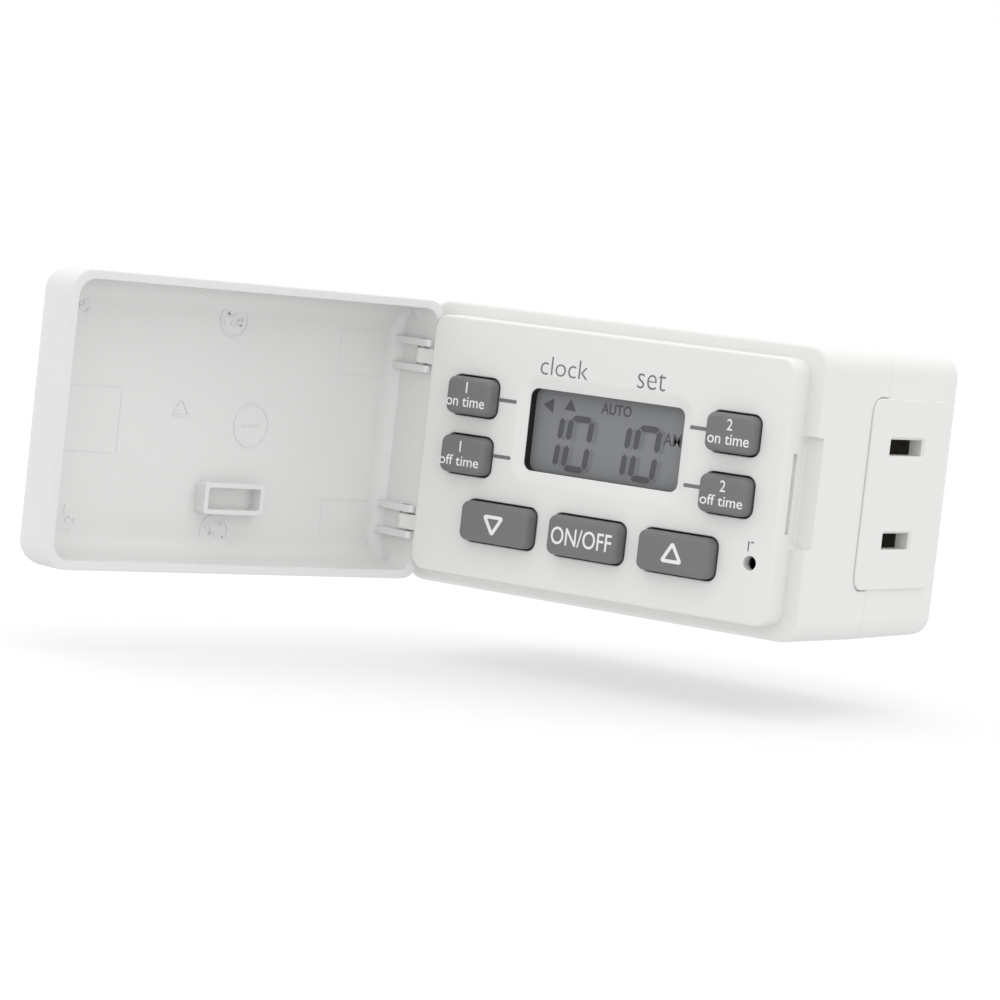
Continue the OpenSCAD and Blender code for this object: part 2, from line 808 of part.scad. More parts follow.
module neutral_strip() {
    color(brass) translate([0, 0, neutral_z]) contact_strip(neutral_len, body_w / 2 - 13);
}

module line_strip() {
    color(brass) translate([0, 0, line_z]) contact_strip(line_len, body_w / 2 - 13);
}

module line_lead() {
    lead_r = 0.8;
    color(black) translate([blade_pitch / 2 - 1.9, contact_y - 1, 0]) {
        rotate([90, 0, 0]) cylinder(h = contact_y - 1 - power_y, r = lead_r);
        translate([1.9 - blade_t / 2, 0, 0]) rotate([0, -90, 0]) cylinder(h = 1.9 - blade_t / 2, r = lead_r);
        sphere(lead_r);
    }
}

front_casing();
rear_casing();
lid();
case_screws();
key(0);  // key_on_time_1
key(1);  // key_off_time_1
key(2);  // key_on_time_2
key(3);  // key_off_time_2
key(4);  // key_down
key(5);  // key_on_off
key(6);  // key_up
keypad_web();
display_bezel();
front_polarizer();
lcd_glass();
lcd_reflector();
lcd_frame();
zebra_strip();
control_board();
key_contacts();
board_screws();
control_chip();
clock_crystal();
reset_switch_body();
reset_plunger();
backup_cell();
cell_tabs();
power_board();
board_link();
relay_base();
relay_case();
relay_coil();
relay_core();
relay_yoke();
relay_armature();
relay_contact_spring();
relay_fixed_contacts();
dropper_capacitor();
filter_capacitor();
series_resistor();
rectifier_diodes();
surge_varistor();
line_blade();
neutral_blade();
blade_holder();
neutral_strip();
line_strip();
line_lead();
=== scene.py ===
"""Looks of a plug-in digital timer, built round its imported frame."""

import json
import logging
import math
import random
from dataclasses import dataclass, field
from enum import Enum
from typing import Iterable

import bmesh
import bpy
from mathutils import Matrix, Vector


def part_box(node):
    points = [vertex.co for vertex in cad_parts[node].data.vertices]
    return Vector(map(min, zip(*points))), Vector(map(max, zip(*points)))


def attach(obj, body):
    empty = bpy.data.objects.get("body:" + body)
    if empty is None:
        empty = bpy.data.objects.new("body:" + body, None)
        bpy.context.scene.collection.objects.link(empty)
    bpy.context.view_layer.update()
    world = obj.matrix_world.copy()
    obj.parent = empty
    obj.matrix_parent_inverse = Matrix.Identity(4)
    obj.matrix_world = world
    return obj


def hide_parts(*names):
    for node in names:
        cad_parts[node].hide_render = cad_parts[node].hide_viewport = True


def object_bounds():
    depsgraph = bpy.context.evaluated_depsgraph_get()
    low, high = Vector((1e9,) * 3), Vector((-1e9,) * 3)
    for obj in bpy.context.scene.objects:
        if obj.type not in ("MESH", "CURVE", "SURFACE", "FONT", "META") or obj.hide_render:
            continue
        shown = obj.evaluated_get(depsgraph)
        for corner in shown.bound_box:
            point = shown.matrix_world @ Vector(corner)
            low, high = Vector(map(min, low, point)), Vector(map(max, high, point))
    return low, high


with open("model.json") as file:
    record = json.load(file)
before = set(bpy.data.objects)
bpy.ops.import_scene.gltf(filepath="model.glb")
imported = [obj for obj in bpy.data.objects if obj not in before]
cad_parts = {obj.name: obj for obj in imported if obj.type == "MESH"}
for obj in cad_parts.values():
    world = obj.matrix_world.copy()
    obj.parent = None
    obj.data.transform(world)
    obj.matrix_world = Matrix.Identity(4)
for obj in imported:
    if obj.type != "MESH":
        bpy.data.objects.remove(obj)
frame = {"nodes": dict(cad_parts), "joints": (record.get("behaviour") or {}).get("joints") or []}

CAD_LOW, CAD_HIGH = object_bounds()
LOG = logging.getLogger("timer")
MM = 0.001
INK_T = 0.016
CASING_BODY = "casing"
COVER_BODY = "cover"
SMOOTH_ANGLE = math.radians(35)

Outline = list[tuple[float, float]]


# ---- finishes ----


def linear(hex_colour: str) -> tuple[float, float, float, float]:
    """Turn an sRGB hex colour into linear RGBA.

    Args:
        hex_colour: Colour as "#rrggbb".

    Returns:
        The linear colour, with full alpha.
    """
    channels = [int(hex_colour[i:i + 2], 16) / 255 for i in (1, 3, 5)]
    values = [c / 12.92 if c <= 0.04045 else ((c + 0.055) / 1.055) ** 2.4 for c in channels]
    return (*values, 1.0)


def add_node(tree: bpy.types.NodeTree, kind: str, settings: dict | None = None,
             links: dict | None = None) -> bpy.types.Node:
    """Add one node, with its settings and the links into it.

    Args:
        tree: Tree that takes the node.
        kind: Blender's identifier of the node type.
        settings: Values of node properties or of its input sockets.
        links: Output sockets, keyed by the input they feed.

    Returns:
        The new node.
    """
    node = tree.nodes.new(kind)
    for key, value in (settings or {}).items():
        if isinstance(key, int) or key in node.inputs:
            node.inputs[key].default_value = value
        else:
            setattr(node, key, value)
    for key, socket in (links or {}).items():
        tree.links.new(socket, node.inputs[key])
    return node


class Pattern(Enum):
    """How a finish's surface varies."""

    GRAIN = "grain"
    BRUSHED = "brushed"
    WINDING = "winding"
    LAYERED = "layered"


@dataclass(frozen=True)
class Finish:
    """One surface finish, from what the real material is and how it was made."""

    name: str
    light: str
    dark: str
    roughness: float
    roughness_spread: float = 0.06
    metallic: float = 0.0
    ior: float = 1.5
    grain_mm: float = 0.25
    bump_mm: float = 0.004
    pattern: Pattern = Pattern.GRAIN
    patch_mm: float = 9.0
    coat: float = 0.0
    transmission: float = 0.0
    glow: float = 0.0

    def build(self) -> bpy.types.Material:
        """Make the material, once.

        Returns:
            The material of this finish.
        """
        made = bpy.data.materials.get(self.name)
        if made:
            return made
        material = bpy.data.materials.new(self.name)
        material.use_nodes = True
        tree = material.node_tree
        tree.nodes.clear()
        place = add_node(tree, "ShaderNodeTexCoord").outputs["Object"]
        grain = self._grain(tree, place)
        patches = add_node(tree, "ShaderNodeTexNoise", {"Scale": 1 / (self.patch_mm * MM), "Detail": 2.0},
                           {"Vector": place}).outputs["Fac"]
        half = add_node(tree, "ShaderNodeMath", {"operation": "MULTIPLY", 1: 0.5}, {0: patches}).outputs[0]
        blend = add_node(tree, "ShaderNodeMath", {"operation": "MULTIPLY_ADD", 1: 0.5},
                         {0: grain, 2: half}).outputs[0]
        colours = {"data_type": "RGBA", 6: linear(self.dark), 7: linear(self.light)}
        colour = add_node(tree, "ShaderNodeMix", colours, {0: blend}).outputs[2]
        low, high = max(self.roughness - self.roughness_spread, 0.02), self.roughness + self.roughness_spread
        rough = add_node(tree, "ShaderNodeMapRange", {"To Min": low, "To Max": high},
                         {"Value": blend}).outputs[0]
        bump = add_node(tree, "ShaderNodeBump", {"Strength": 1.0, "Distance": self.bump_mm * MM},
                        {"Height": grain}).outputs[0]
        settings = {"Metallic": self.metallic, "Coat Weight": self.coat,
                    "Transmission Weight": self.transmission, "Emission Strength": self.glow}
        if not self.metallic:
            settings["IOR"] = self.ior
        shader = add_node(tree, "ShaderNodeBsdfPrincipled", settings,
                          {"Base Color": colour, "Emission Color": colour, "Roughness": rough,
                           "Normal": bump})
        add_node(tree, "ShaderNodeOutputMaterial", links={"Surface": shader.outputs[0]})
        return material

    def _grain(self, tree: bpy.types.NodeTree, place: bpy.types.NodeSocket) -> bpy.types.NodeSocket:
        """Add the fine pattern of the surface.

        Args:
            tree: The material's tree.
            place: Object coordinates.

        Returns:
            The socket that holds the pattern, from 0 to 1.
        """
        scale = 1 / (self.grain_mm * MM)
        if self.pattern is Pattern.BRUSHED:
            stretched = add_node(tree, "ShaderNodeMapping", {"Scale": (1.0, 0.06, 1.0)}, {"Vector": place})
            place = stretched.outputs[0]
        if self.pattern in (Pattern.WINDING, Pattern.LAYERED):
            bands = "Y" if self.pattern is Pattern.WINDING else "X"
            return add_node(tree, "ShaderNodeTexWave", {"bands_direction": bands, "Scale": scale / 2,
                                                        "Distortion": 0.4}, {"Vector": place}).outputs["Fac"]
        return add_node(tree, "ShaderNodeTexNoise", {"Scale": scale, "Detail": 3.0},
                        {"Vector": place}).outputs["Fac"]


# Satin moulded ABS: even white, a fine spark-eroded grain that breaks the highlights
CASING_ABS = Finish("abs_satin_white", "#e7e7e5", "#e1e1df", 0.42, grain_mm=0.3, bump_mm=0.006)
# Moulded polycarbonate: the same white, a little glossier than the casing
COVER_PC = Finish("polycarbonate_white", "#e3e3e2", "#dededd", 0.34, ior=1.58, grain_mm=0.5, bump_mm=0.003)
# Silicone rubber: matt mid grey with a dusty grain
KEY_RUBBER = Finish("silicone_rubber_grey", "#79797a", "#707071", 0.5, ior=1.43, grain_mm=0.2, bump_mm=0.008)
# Black polycarbonate of the display surround
BEZEL_BLACK = Finish("polycarbonate_black", "#161617", "#101011", 0.35, ior=1.58, grain_mm=0.3)
# Polariser film over the liquid crystal: neutral grey with a soft sheen
LCD_FILM = Finish("polariser_film_grey", "#87898b", "#818285", 0.3, roughness_spread=0.03, ior=1.3,
                  bump_mm=0.0005, patch_mm=14.0)
# Dark liquid crystal where a segment is switched on
LCD_DARK = Finish("liquid_crystal_dark", "#5c5d5f", "#56575a", 0.3, ior=1.3, bump_mm=0.0005)
# Soft shadow that a segment throws on the reflector behind it
LCD_SHADOW = Finish("liquid_crystal_shadow", "#7a7c7e", "#76787c", 0.3, ior=1.3, bump_mm=0.0005)
# Fainter rim of that shadow
LCD_SHADOW_SOFT = Finish("liquid_crystal_half_shadow", "#828487", "#7e8083", 0.3, ior=1.3, bump_mm=0.0005)
GLASS_CELL = Finish("soda_glass_cell", "#a4aaa6", "#9aa09c", 0.08, ior=1.52, bump_mm=0.0002, transmission=0.4)
REFLECTOR = Finish("reflector_film_silver", "#b9bbb9", "#adafad", 0.4, metallic=0.4)
# Screen-printed ink, a thin matt film
INK_GREY = Finish("screen_ink_grey", "#77787b", "#717275", 0.55, bump_mm=0.002)
INK_WHITE = Finish("screen_ink_white", "#ededee", "#e4e4e6", 0.5, bump_mm=0.002)
# Stamped brass, rolled along its length
BRASS = Finish("stamped_brass", "#d6b060", "#b98f42", 0.28, metallic=1.0, pattern=Pattern.BRUSHED,
               grain_mm=0.15)
# Zinc-plated steel screws and frames
ZINC_STEEL = Finish("zinc_plated_steel", "#c3c6ca", "#9a9da3", 0.32, metallic=1.0, pattern=Pattern.BRUSHED,
                    grain_mm=0.12)
# Nickel-plated can, drawn and tumbled
NICKEL_CAN = Finish("nickel_plated_can", "#cfcfcc", "#b3b3b0", 0.22, metallic=1.0, grain_mm=0.4,
                    bump_mm=0.002)
GOLD_PADS = Finish("gold_flashed_copper", "#e0b65c", "#c49640", 0.25, metallic=1.0)
SOLDER_MASK = Finish("solder_mask_green", "#2f6b3f", "#245632", 0.3, coat=0.3, grain_mm=1.2)
PHENOLIC_PAPER = Finish("phenolic_paper_tan", "#b8925a", "#9c7846", 0.6, grain_mm=0.8, bump_mm=0.01)
EPOXY_BLACK = Finish("epoxy_black", "#151516", "#0d0d0e", 0.3, grain_mm=0.4)
RELAY_PBT = Finish("polyester_blue", "#2e5da6", "#274f8f", 0.38, ior=1.57)
COIL_COPPER = Finish("enamelled_copper", "#b3602c", "#7d3c18", 0.3, metallic=0.9, pattern=Pattern.WINDING,
                     grain_mm=0.2, bump_mm=0.05)
FILM_YELLOW = Finish("film_capacitor_yellow", "#cda03a", "#b98c2c", 0.35)
SLEEVE_DARK = Finish("shrink_sleeve_dark", "#202c38", "#18222c", 0.3, coat=0.2)
RESISTOR_LACQUER = Finish("flameproof_lacquer", "#94826a", "#7f6e58", 0.6, bump_mm=0.02)
VARISTOR_BLUE = Finish("epoxy_dip_blue", "#2f5dae", "#264d94", 0.28, bump_mm=0.03, grain_mm=1.5)
PHENOLIC_BLACK = Finish("phenolic_black", "#1c1b1a", "#131211", 0.5, grain_mm=0.5)
PVC_BLACK = Finish("pvc_black", "#19191a", "#121213", 0.45)
# Paper of the floor, a little luminous so that the shadow stays pale
PAPER_WHITE = Finish("paper_white", "#cccccc", "#cacaca", 0.8, patch_mm=60.0, glow=0.45)
ZEBRA = Finish("zebra_silicone", "#dcb8b0", "#2a2322", 0.5, pattern=Pattern.LAYERED, grain_mm=0.2)


# ---- mesh tools, in millimetres ----


class Axis(Enum):
    """Axis that a solid is drawn along."""

    X = 0
    Y = 1
    Z = 2

    def point(self, u: float, v: float, depth: float) -> Vector:
        """Give the point at (u, v) across the axis and at depth along it."""
        if self is Axis.X:
            return Vector((depth, u, v))
        if self is Axis.Y:
            return Vector((u, depth, v))
        return Vector((u, v, depth))


class Operation(Enum):
    """What one solid does to another."""

    FUSE = "UNION"
    CUT = "DIFFERENCE"


@dataclass(frozen=True)
class Section:
    """One rounded-rectangle section of a loft."""

    depth: float
    width: float
    height: float
    radius: float

    def outline(self, steps: int) -> Outline:
        """List the section's points, anticlockwise.

        Args:
            steps: Facets in each corner.

        Returns:
            The points across the axis.
        """
        radius = max(min(self.radius, self.width / 2 - 0.01, self.height / 2 - 0.01), 0.01)
        points = []
        for quarter in range(4):
            sign_u = 1 if quarter in (0, 3) else -1
            sign_v = 1 if quarter < 2 else -1
            for i in range(steps + 1):
                angle = math.pi / 2 * (quarter + i / steps)
                points.append((sign_u * (self.width / 2 - radius) + radius * math.cos(angle),
                               sign_v * (self.height / 2 - radius) + radius * math.sin(angle)))
        return points

    def grown(self, by: float, depth: float) -> "Section":
        """Give the same section, larger by an offset all round and at another depth."""
        return Section(depth, self.width + 2 * by, self.height + 2 * by, self.radius + by)


def rounded_end(face: float, section: Section, edge: float, steps: int = 4) -> list[Section]:
    """Sections that round the end of a prism over to its flat face.

    Args:
        face: Depth of the flat face.
        section: The prism's section where the rounding begins; its depth says on which side it lies.
        edge: Radius of the rounded edge.
        steps: Facets of the rounding.

    Returns:
        The sections, from the face towards the prism.
    """
    side = 1 if section.depth > face else -1
    made = []
    for i in range(steps + 1):
        angle = math.pi / 2 * i / steps
        made.append(section.grown(-edge * (1 - math.sin(angle)), face + side * edge * (1 - math.cos(angle))))
    return made


def both_ends_rounded(low: float, high: float, section: Section, edge: float,
                      steps: int = 2) -> list[Section]:
    """Sections of a prism with both end faces rounded over.

    Args:
        low: Depth of the lower face.
        high: Depth of the upper face.
        section: The prism's section, at any depth.
        edge: Radius of the rounded edges.
        steps: Facets of each rounding.

    Returns:
        The sections, from the lower face to the upper.
    """
    middle = section.grown(0, (low + high) / 2)
    return rounded_end(low, middle, edge, steps) + list(reversed(rounded_end(high, middle, edge, steps)))


def flared_mouth(face: float, section: Section, edge: float, steps: int = 3) -> list[Section]:
    """Sections that ease the mouth of a hole, for a cutter that starts outside the face.

    Args:
        face: Depth of the face that the hole opens in.
        section: The hole's section; its depth says on which side the hole lies.
        edge: Radius of the eased edge.
        steps: Facets of the easing.

    Returns:
        The sections, from outside the face into the hole.
    """
    side = 1 if section.depth > face else -1
    made = [section.grown(edge, face - side * 1.0)]
    for i in range(steps + 1):
        angle = math.pi / 2 * i / steps
        made.append(section.grown(edge * (1 - math.sin(angle)), face + side * edge * (1 - math.cos(angle))))
    return made


class Solid:
    """A mesh under construction, in millimetres, that ends as one piece of the object."""

    def __init__(self, name: str, shape: bmesh.types.BMesh) -> None:
        """Wrap a bmesh as an object and free it."""
        bmesh.ops.recalc_face_normals(shape, faces=shape.faces)
        mesh = bpy.data.meshes.new(name)
        shape.to_mesh(mesh)
        shape.free()
        self.obj = bpy.data.objects.new(name, mesh)
        bpy.context.scene.collection.objects.link(self.obj)

    @classmethod
    def loft(cls, name: str, axis: Axis, sections: list[Section], centre: tuple[float, float] = (0, 0),
             steps: int = 8) -> "Solid":
        """Stretch a closed skin over rounded-rectangle sections.

        Args:
            name: Name of the piece.
            axis: Axis that the sections follow.
            sections: The sections in order.
            centre: Middle of the sections, across the axis.
            steps: Facets in each corner.

        Returns:
            The solid.
        """
        outlines = [([(centre[0] + u, centre[1] + v) for u, v in section.outline(steps)], section.depth)
                    for section in sections]
        return cls.skin(name, axis, outlines)

    @classmethod
    def skin(cls, name: str, axis: Axis, outlines: list[tuple[Outline, float]]) -> "Solid":
        """Stretch a closed skin over outlines that have the same number of points.

        Args:
            name: Name of the piece.
            axis: Axis that the outlines follow.
            outlines: Each outline with its depth.

        Returns:
            The solid.
        """
        shape = bmesh.new()
        rings = [[shape.verts.new(axis.point(u, v, depth)) for u, v in outline]
                 for outline, depth in outlines]
        for low, high in zip(rings, rings[1:]):
            for i in range(len(low)):
                j = (i + 1) % len(low)
                shape.faces.new((low[i], low[j], high[j], high[i]))
        shape.faces.new(reversed(rings[0]))
        shape.faces.new(rings[-1])
        return cls(name, shape)

    @classmethod
    def rod(cls, name: str, axis: Axis, radius: float, low: float, high: float,
            centre: tuple[float, float] = (0, 0), edge: float = 0.0, steps: int = 8) -> "Solid":
        """Make a round rod, with its end edges rounded where edge is over zero.

        Args:
            name: Name of the piece.
            axis: Axis of the rod.
            radius: Radius of the rod.
            low: Lower end.
            high: Upper end.
            centre: Middle of the rod, across the axis.
            edge: Radius of the end edges.
            steps: Facets in each quarter.

        Returns:
            The rod.
        """
        middle = Section((low + high) / 2, 2 * radius, 2 * radius, radius)
        plain = [middle.grown(0, low), middle.grown(0, high)]
        sections = both_ends_rounded(low, high, middle, edge) if edge else plain
        return cls.loft(name, axis, sections, centre, steps)

    @classmethod
    def block(cls, name: str, low: tuple[float, float, float], high: tuple[float, float, float]) -> "Solid":
        """Make a plain block between two corners, used as a cutter."""
        centre = ((low[0] + high[0]) / 2, (low[2] + high[2]) / 2)
        section = Section(low[1], high[0] - low[0], high[2] - low[2], 0.01)
        return cls.loft(name, Axis.Y, [section, section.grown(0, high[1])], centre, 1)

    def combine(self, operation: Operation, tools: Iterable["Solid"]) -> "Solid":
        """Fuse with or cut by other solids, which are used up.

        Args:
            operation: What the tools do.
            tools: The other solids.

        Returns:
            This solid.
        """
        tools = list(tools)
        for tool in tools:
            modifier = self.obj.modifiers.new("shape", "BOOLEAN")
            modifier.operation = operation.value
            modifier.solver = "EXACT"
            modifier.object = tool.obj
        self.apply()
        for tool in tools:
            tool.discard()
        return self

    def apply(self) -> None:
        """Turn the modifiers into the mesh."""
        old = self.obj.data
        evaluated = self.obj.evaluated_get(bpy.context.evaluated_depsgraph_get())
        self.obj.data = bpy.data.meshes.new_from_object(evaluated)
        self.obj.modifiers.clear()
        bpy.data.meshes.remove(old)

    def discard(self) -> None:
        """Remove the solid from the scene."""
        mesh = self.obj.data
        bpy.data.objects.remove(self.obj)
        bpy.data.meshes.remove(mesh)

    def turn(self, matrix: Matrix) -> "Solid":
        """Move the mesh by a matrix in millimetres."""
        self.obj.data.transform(matrix)
        return self

    def piece(self, finish: Finish, body: str, replaces: Iterable[str] = (),
              slot: str = "") -> bpy.types.Object:
        """Finish the solid as one piece of the object, in metres.

        Args:
            finish: Its surface.
            body: CAD body that it rides on.
            replaces: CAD nodes that it stands for.
            slot: Material slot of the record; not used.

        Returns:
            The finished object.
        """
        shape = bmesh.new()
        shape.from_mesh(self.obj.data)
        bmesh.ops.remove_doubles(shape, verts=shape.verts, dist=0.002)
        bmesh.ops.dissolve_degenerate(shape, edges=shape.edges, dist=0.0005)
        shape.to_mesh(self.obj.data)
        shape.free()
        self.obj.data.transform(Matrix.Scale(MM, 4))
        self.obj.data.shade_smooth()
        self.obj.data.set_sharp_from_angle(angle=SMOOTH_ANGLE)
        modifier = self.obj.modifiers.new("normals", "WEIGHTED_NORMAL")
        modifier.keep_sharp = True
        modifier.weight = 100
        self.apply()
        self.obj.data.materials.clear()
        self.obj.data.materials.append(finish.build())
        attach(self.obj, body)
        if replaces:
            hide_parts(*replaces)
        LOG.info("%s: %d faces on %s", self.obj.name, len(self.obj.data.polygons), body)
        return self.obj


def box_mm(node: str) -> tuple[Vector, Vector]:
    """Give a CAD node's lowest and highest corners, in millimetres."""
    low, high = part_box(node)
    return low / MM, high / MM


def middle_mm(node: str) -> Vector:
    """Give the middle of a CAD node's box, in millimetres."""
    low, high = box_mm(node)
    return (low + high) / 2


def corner_signs() -> list[tuple[int, int]]:
    """List the four sign pairs of a rectangle's corners."""
    return [(u, v) for u in (-1, 1) for v in (-1, 1)]


@dataclass
class Layout:
    """Planes and places that the sub-assemblies share, read from the frame, in millimetres."""

    plateau_h: float = 3.9
    slot_mid_z: float = 0.4
    slot_pitch: float = 12.7
    pad_proud: float = 0.4
    finger_z: float = 11.5
    window_w: float = 24.5
    window_h: float = 11.2
    window_r: float = 1.2
    window_shift: float = -0.25
    case_r: float = 3.0
    case_wall: float = 1.8
    hollow_r: float = 2.1
    front_low: Vector = field(default_factory=lambda: box_mm("front_casing")[0])
    front_high: Vector = field(default_factory=lambda: box_mm("front_casing")[1])
    screw: Vector = field(default_factory=lambda: box_mm("case_screws")[1])
    hinge: Vector = field(default_factory=lambda: Vector(
        next(j for j in frame["joints"] if j["name"] == "cover_hinge")["pos_m"]) / MM)

    def __post_init__(self) -> None:
        """Work out the planes from front to back."""
        self.width = 2 * self.front_high.x
        self.height = 2 * self.front_high.z
        self.plateau_y = self.front_low.y
        self.flange_y = self.plateau_y + self.plateau_h
        self.seam_y = self.front_high.y
        self.mid_x = middle_mm("key_on_off").x
        self.display = middle_mm("display_bezel")
        self.window_at = (self.display.x + self.window_shift, self.display.z)
        self.reset = middle_mm("reset_plunger")
        self.screw_x = self.screw.x - 2.0
        self.screw_z = self.screw.z - 2.0
        self.pad_x = self.width / 2 + self.pad_proud

    def screw_spots(self) -> list[tuple[float, float]]:
        """List the places of the four casing screws, seen from the front."""
        return [(u * self.screw_x, v * self.screw_z) for u, v in corner_signs()]


@dataclass
class OutletPad:
    """Raised pad with the two slots of one outlet, shared by both casings."""

    layout: Layout
    side: int
    length: float = 21.3
    height: float = 25.8
    corner_r: float = 2.0
    middle_y: float = -13.1
    slot_y: float = -13.5
    slot_w: float = 2.2
    neutral_len: float = 9.2
    line_len: float = 7.6
    lip: float = 0.35

    def solid(self, grow: float = 0.0) -> Solid:
        """Make the pad, or the notch that it sits in when grown.

        Args:
            grow: Clearance added all round.

        Returns:
            The solid.
        """
        face = self.side * (self.layout.pad_x + (1 if grow else 0))
        inner = self.side * (self.layout.width / 2 - 1.5 - (1.5 if grow else 0))
        section = Section(inner, self.length + 2 * grow, self.height + 2 * grow, self.corner_r + grow)
        return Solid.loft("pad", Axis.X, rounded_end(face, section, 0.22) + [section],
                          (self.middle_y, self.layout.slot_mid_z))

    def slots(self) -> list[Solid]:
        """Make the cutters of both slots, with their eased lips."""
        face = self.side * self.layout.pad_x
        inner = self.side * (self.layout.width / 2 - 3.5)
        cutters = []
        for sign, length in ((1, self.neutral_len), (-1, self.line_len)):
            section = Section(inner, length, self.slot_w, 0.15)
            height = self.layout.slot_mid_z + sign * self.layout.slot_pitch / 2
            mouth = [section.grown(self.lip, face + self.side), section.grown(self.lip, face),
                     section.grown(0, face - self.side * self.lip)]
            cutters.append(Solid.loft("slot", Axis.X, mouth + [section], (self.slot_y, height), 3))
        return cutters


@dataclass
class FrontCasing:
    """Front shell: flange, plateau with its window and key holes, hinge fingers and screw bosses."""

    layout: Layout
    face_wall: float = 1.6
    plateau_w: float = 57.2
    plateau_z: float = 35.1
    plateau_r: float = 2.0
    bevel_w: float = 1.6
    bevel_in: float = 0.5
    window_lip: float = 0.3
    key_gap: float = 0.2
    key_r: float = 1.1
    finger_w: float = 2.1
    pin_r: float = 0.6
    reset_r: float = 0.95

    def build(self) -> None:
        """Build the shell and dress it."""
        at = self.layout
        full = Section(at.flange_y + 2, at.width, at.height, at.case_r)
        seam = full.grown(0.1, at.seam_y - 0.15)
        skin = rounded_end(at.flange_y, full, 0.55) + [seam, seam.grown(-0.13, at.seam_y)]
        shell = Solid.loft("front_casing_shell", Axis.Y, skin)
        shell.combine(Operation.FUSE, [self._plateau(), *self._fingers()])
        shell.combine(Operation.CUT, self._cavity())
        shell.combine(Operation.FUSE, self._bosses())
        shell.combine(Operation.CUT, [self._window(), *self._key_holes(), *self._side_cuts(),
                                      *self._pilots()])
        shell.piece(CASING_ABS, CASING_BODY, ["front_casing"], "casing_abs")

    def _plateau(self) -> Solid:
        """Make the raised plateau."""
        at = self.layout
        section = Section(at.plateau_y + 2, self.plateau_w, self.plateau_z, self.plateau_r)
        return Solid.loft("plateau", Axis.Y, rounded_end(at.plateau_y, section, 0.4)
                          + [section.grown(0.08, at.flange_y + 0.6)], (at.mid_x, 0))

    def _fingers(self) -> list[Solid]:
        """Make the two hinge fingers and their pins."""
        at, made = self.layout, []
        reach, boss_r = 5.4, 1.1
        for sign in (-1, 1):
            low = sign * at.finger_z - self.finger_w / 2
            high = low + self.finger_w
            finger = Section(low + 1, reach, 2 * boss_r, boss_r)
            made.append(Solid.loft("finger", Axis.Z, both_ends_rounded(low, high, finger, 0.2),
                                   (at.hinge.x - boss_r + reach / 2, at.hinge.y)))
            made.append(Solid.rod("pin", Axis.Z, self.pin_r, low - 1.2, high + 1.2,
                                  (at.hinge.x, at.hinge.y), 0.12))
        return made

    def _cavity(self) -> list[Solid]:
        """Make the cutters of the hollow inside."""
        at = self.layout
        main = Section(at.flange_y + at.case_wall, at.width - 2 * at.case_wall, at.height - 2 * at.case_wall,
                       at.hollow_r)
        upper = Section(at.plateau_y + self.face_wall, self.plateau_w - 2 * self.face_wall,
                        self.plateau_z - 2 * self.face_wall, 1.0)
        return [Solid.loft("hollow", Axis.Y, [main, main.grown(0, at.seam_y + 1)]),
                Solid.loft("hollow", Axis.Y, [upper, upper.grown(0, main.depth + 0.5)], (at.mid_x, 0))]

    def _bosses(self) -> list[Solid]:
        """Make the posts that the casing screws drive into."""
        at = self.layout
        return [Solid.rod("boss", Axis.Y, 2.4, at.flange_y + 1, at.seam_y - 0.1, spot)
                for spot in at.screw_spots()]

    def _window(self) -> Solid:
        """Make the cutter of the display window with its sloped surround."""
        at = self.layout
        opening = Section(at.plateau_y, at.window_w, at.window_h, at.window_r)
        steps = ((self.bevel_w + 0.3, -1.0), (self.bevel_w + 0.3, -0.01), (self.bevel_w, 0.04),
                 (self.bevel_w - 0.3, 0.12), (0.15, self.bevel_in - 0.05), (0.0, self.bevel_in + 0.06),
                 (0.0, self.bevel_in + 0.14), (self.window_lip, self.bevel_in + 0.15),
                 (self.window_lip, self.face_wall + 1))
        sections = [opening.grown(grow, at.plateau_y + depth) for grow, depth in steps]
        return Solid.loft("window", Axis.Y, sections, at.window_at)

    def _key_holes(self) -> list[Solid]:
        """Make the cutters of the seven key holes and the reset hole."""
        at, made = self.layout, []
        for key in KEYS:
            size = key.size
            section = Section(at.plateau_y + self.face_wall + 1, size.x + 2 * self.key_gap,
                              size.z + 2 * self.key_gap, self.key_r + self.key_gap)
            made.append(Solid.loft("hole", Axis.Y, flared_mouth(at.plateau_y, section, 0.15) + [section],
                                   (key.middle.x, key.middle.z)))
        reset = Section(at.plateau_y + self.face_wall + 1, 2 * self.reset_r, 2 * self.reset_r, self.reset_r)
        made.append(Solid.loft("reset_hole", Axis.Y, flared_mouth(at.plateau_y, reset, 0.15) + [reset],
                               (at.reset.x, at.reset.z)))
        return made

    def _side_cuts(self) -> list[Solid]:
        """Make the cutters of the catch groove, finger notch, hinge relief and pad notches."""
        at = self.layout
        edge_x = at.mid_x + self.plateau_w / 2
        groove = Solid.block("groove", (edge_x - 0.8, at.plateau_y + 2.0, -5.3),
                             (edge_x + 2, at.plateau_y + 3.2, 5.3))
        notch = Section(at.flange_y + 1.0, 2 * (at.width / 2 - edge_x) + 0.4, 14.8, 0.5)
        steps = ((0.1, -1.0), (0.1, 0.0), (0.0, 0.15), (0.0, 0.85), (-0.12, 1.0))
        finger_notch = Solid.loft("notch", Axis.Y, [notch.grown(grow, at.flange_y + depth) for grow, depth in steps],
                                  (at.width / 2 + 0.2, 0.3))
        relief = [(0.3, at.plateau_h - 1.21), (-2.2, 1.7), (-2.2, 4.4)]
        wedge = [(at.hinge.x + u, at.hinge.y + v) for u, v in relief]
        swing = Solid.skin("relief", Axis.Z, [(wedge, -at.height), (wedge, at.height)])
        return [groove, finger_notch, swing, *(OutletPad(at, side).solid(0.12) for side in (-1, 1))]

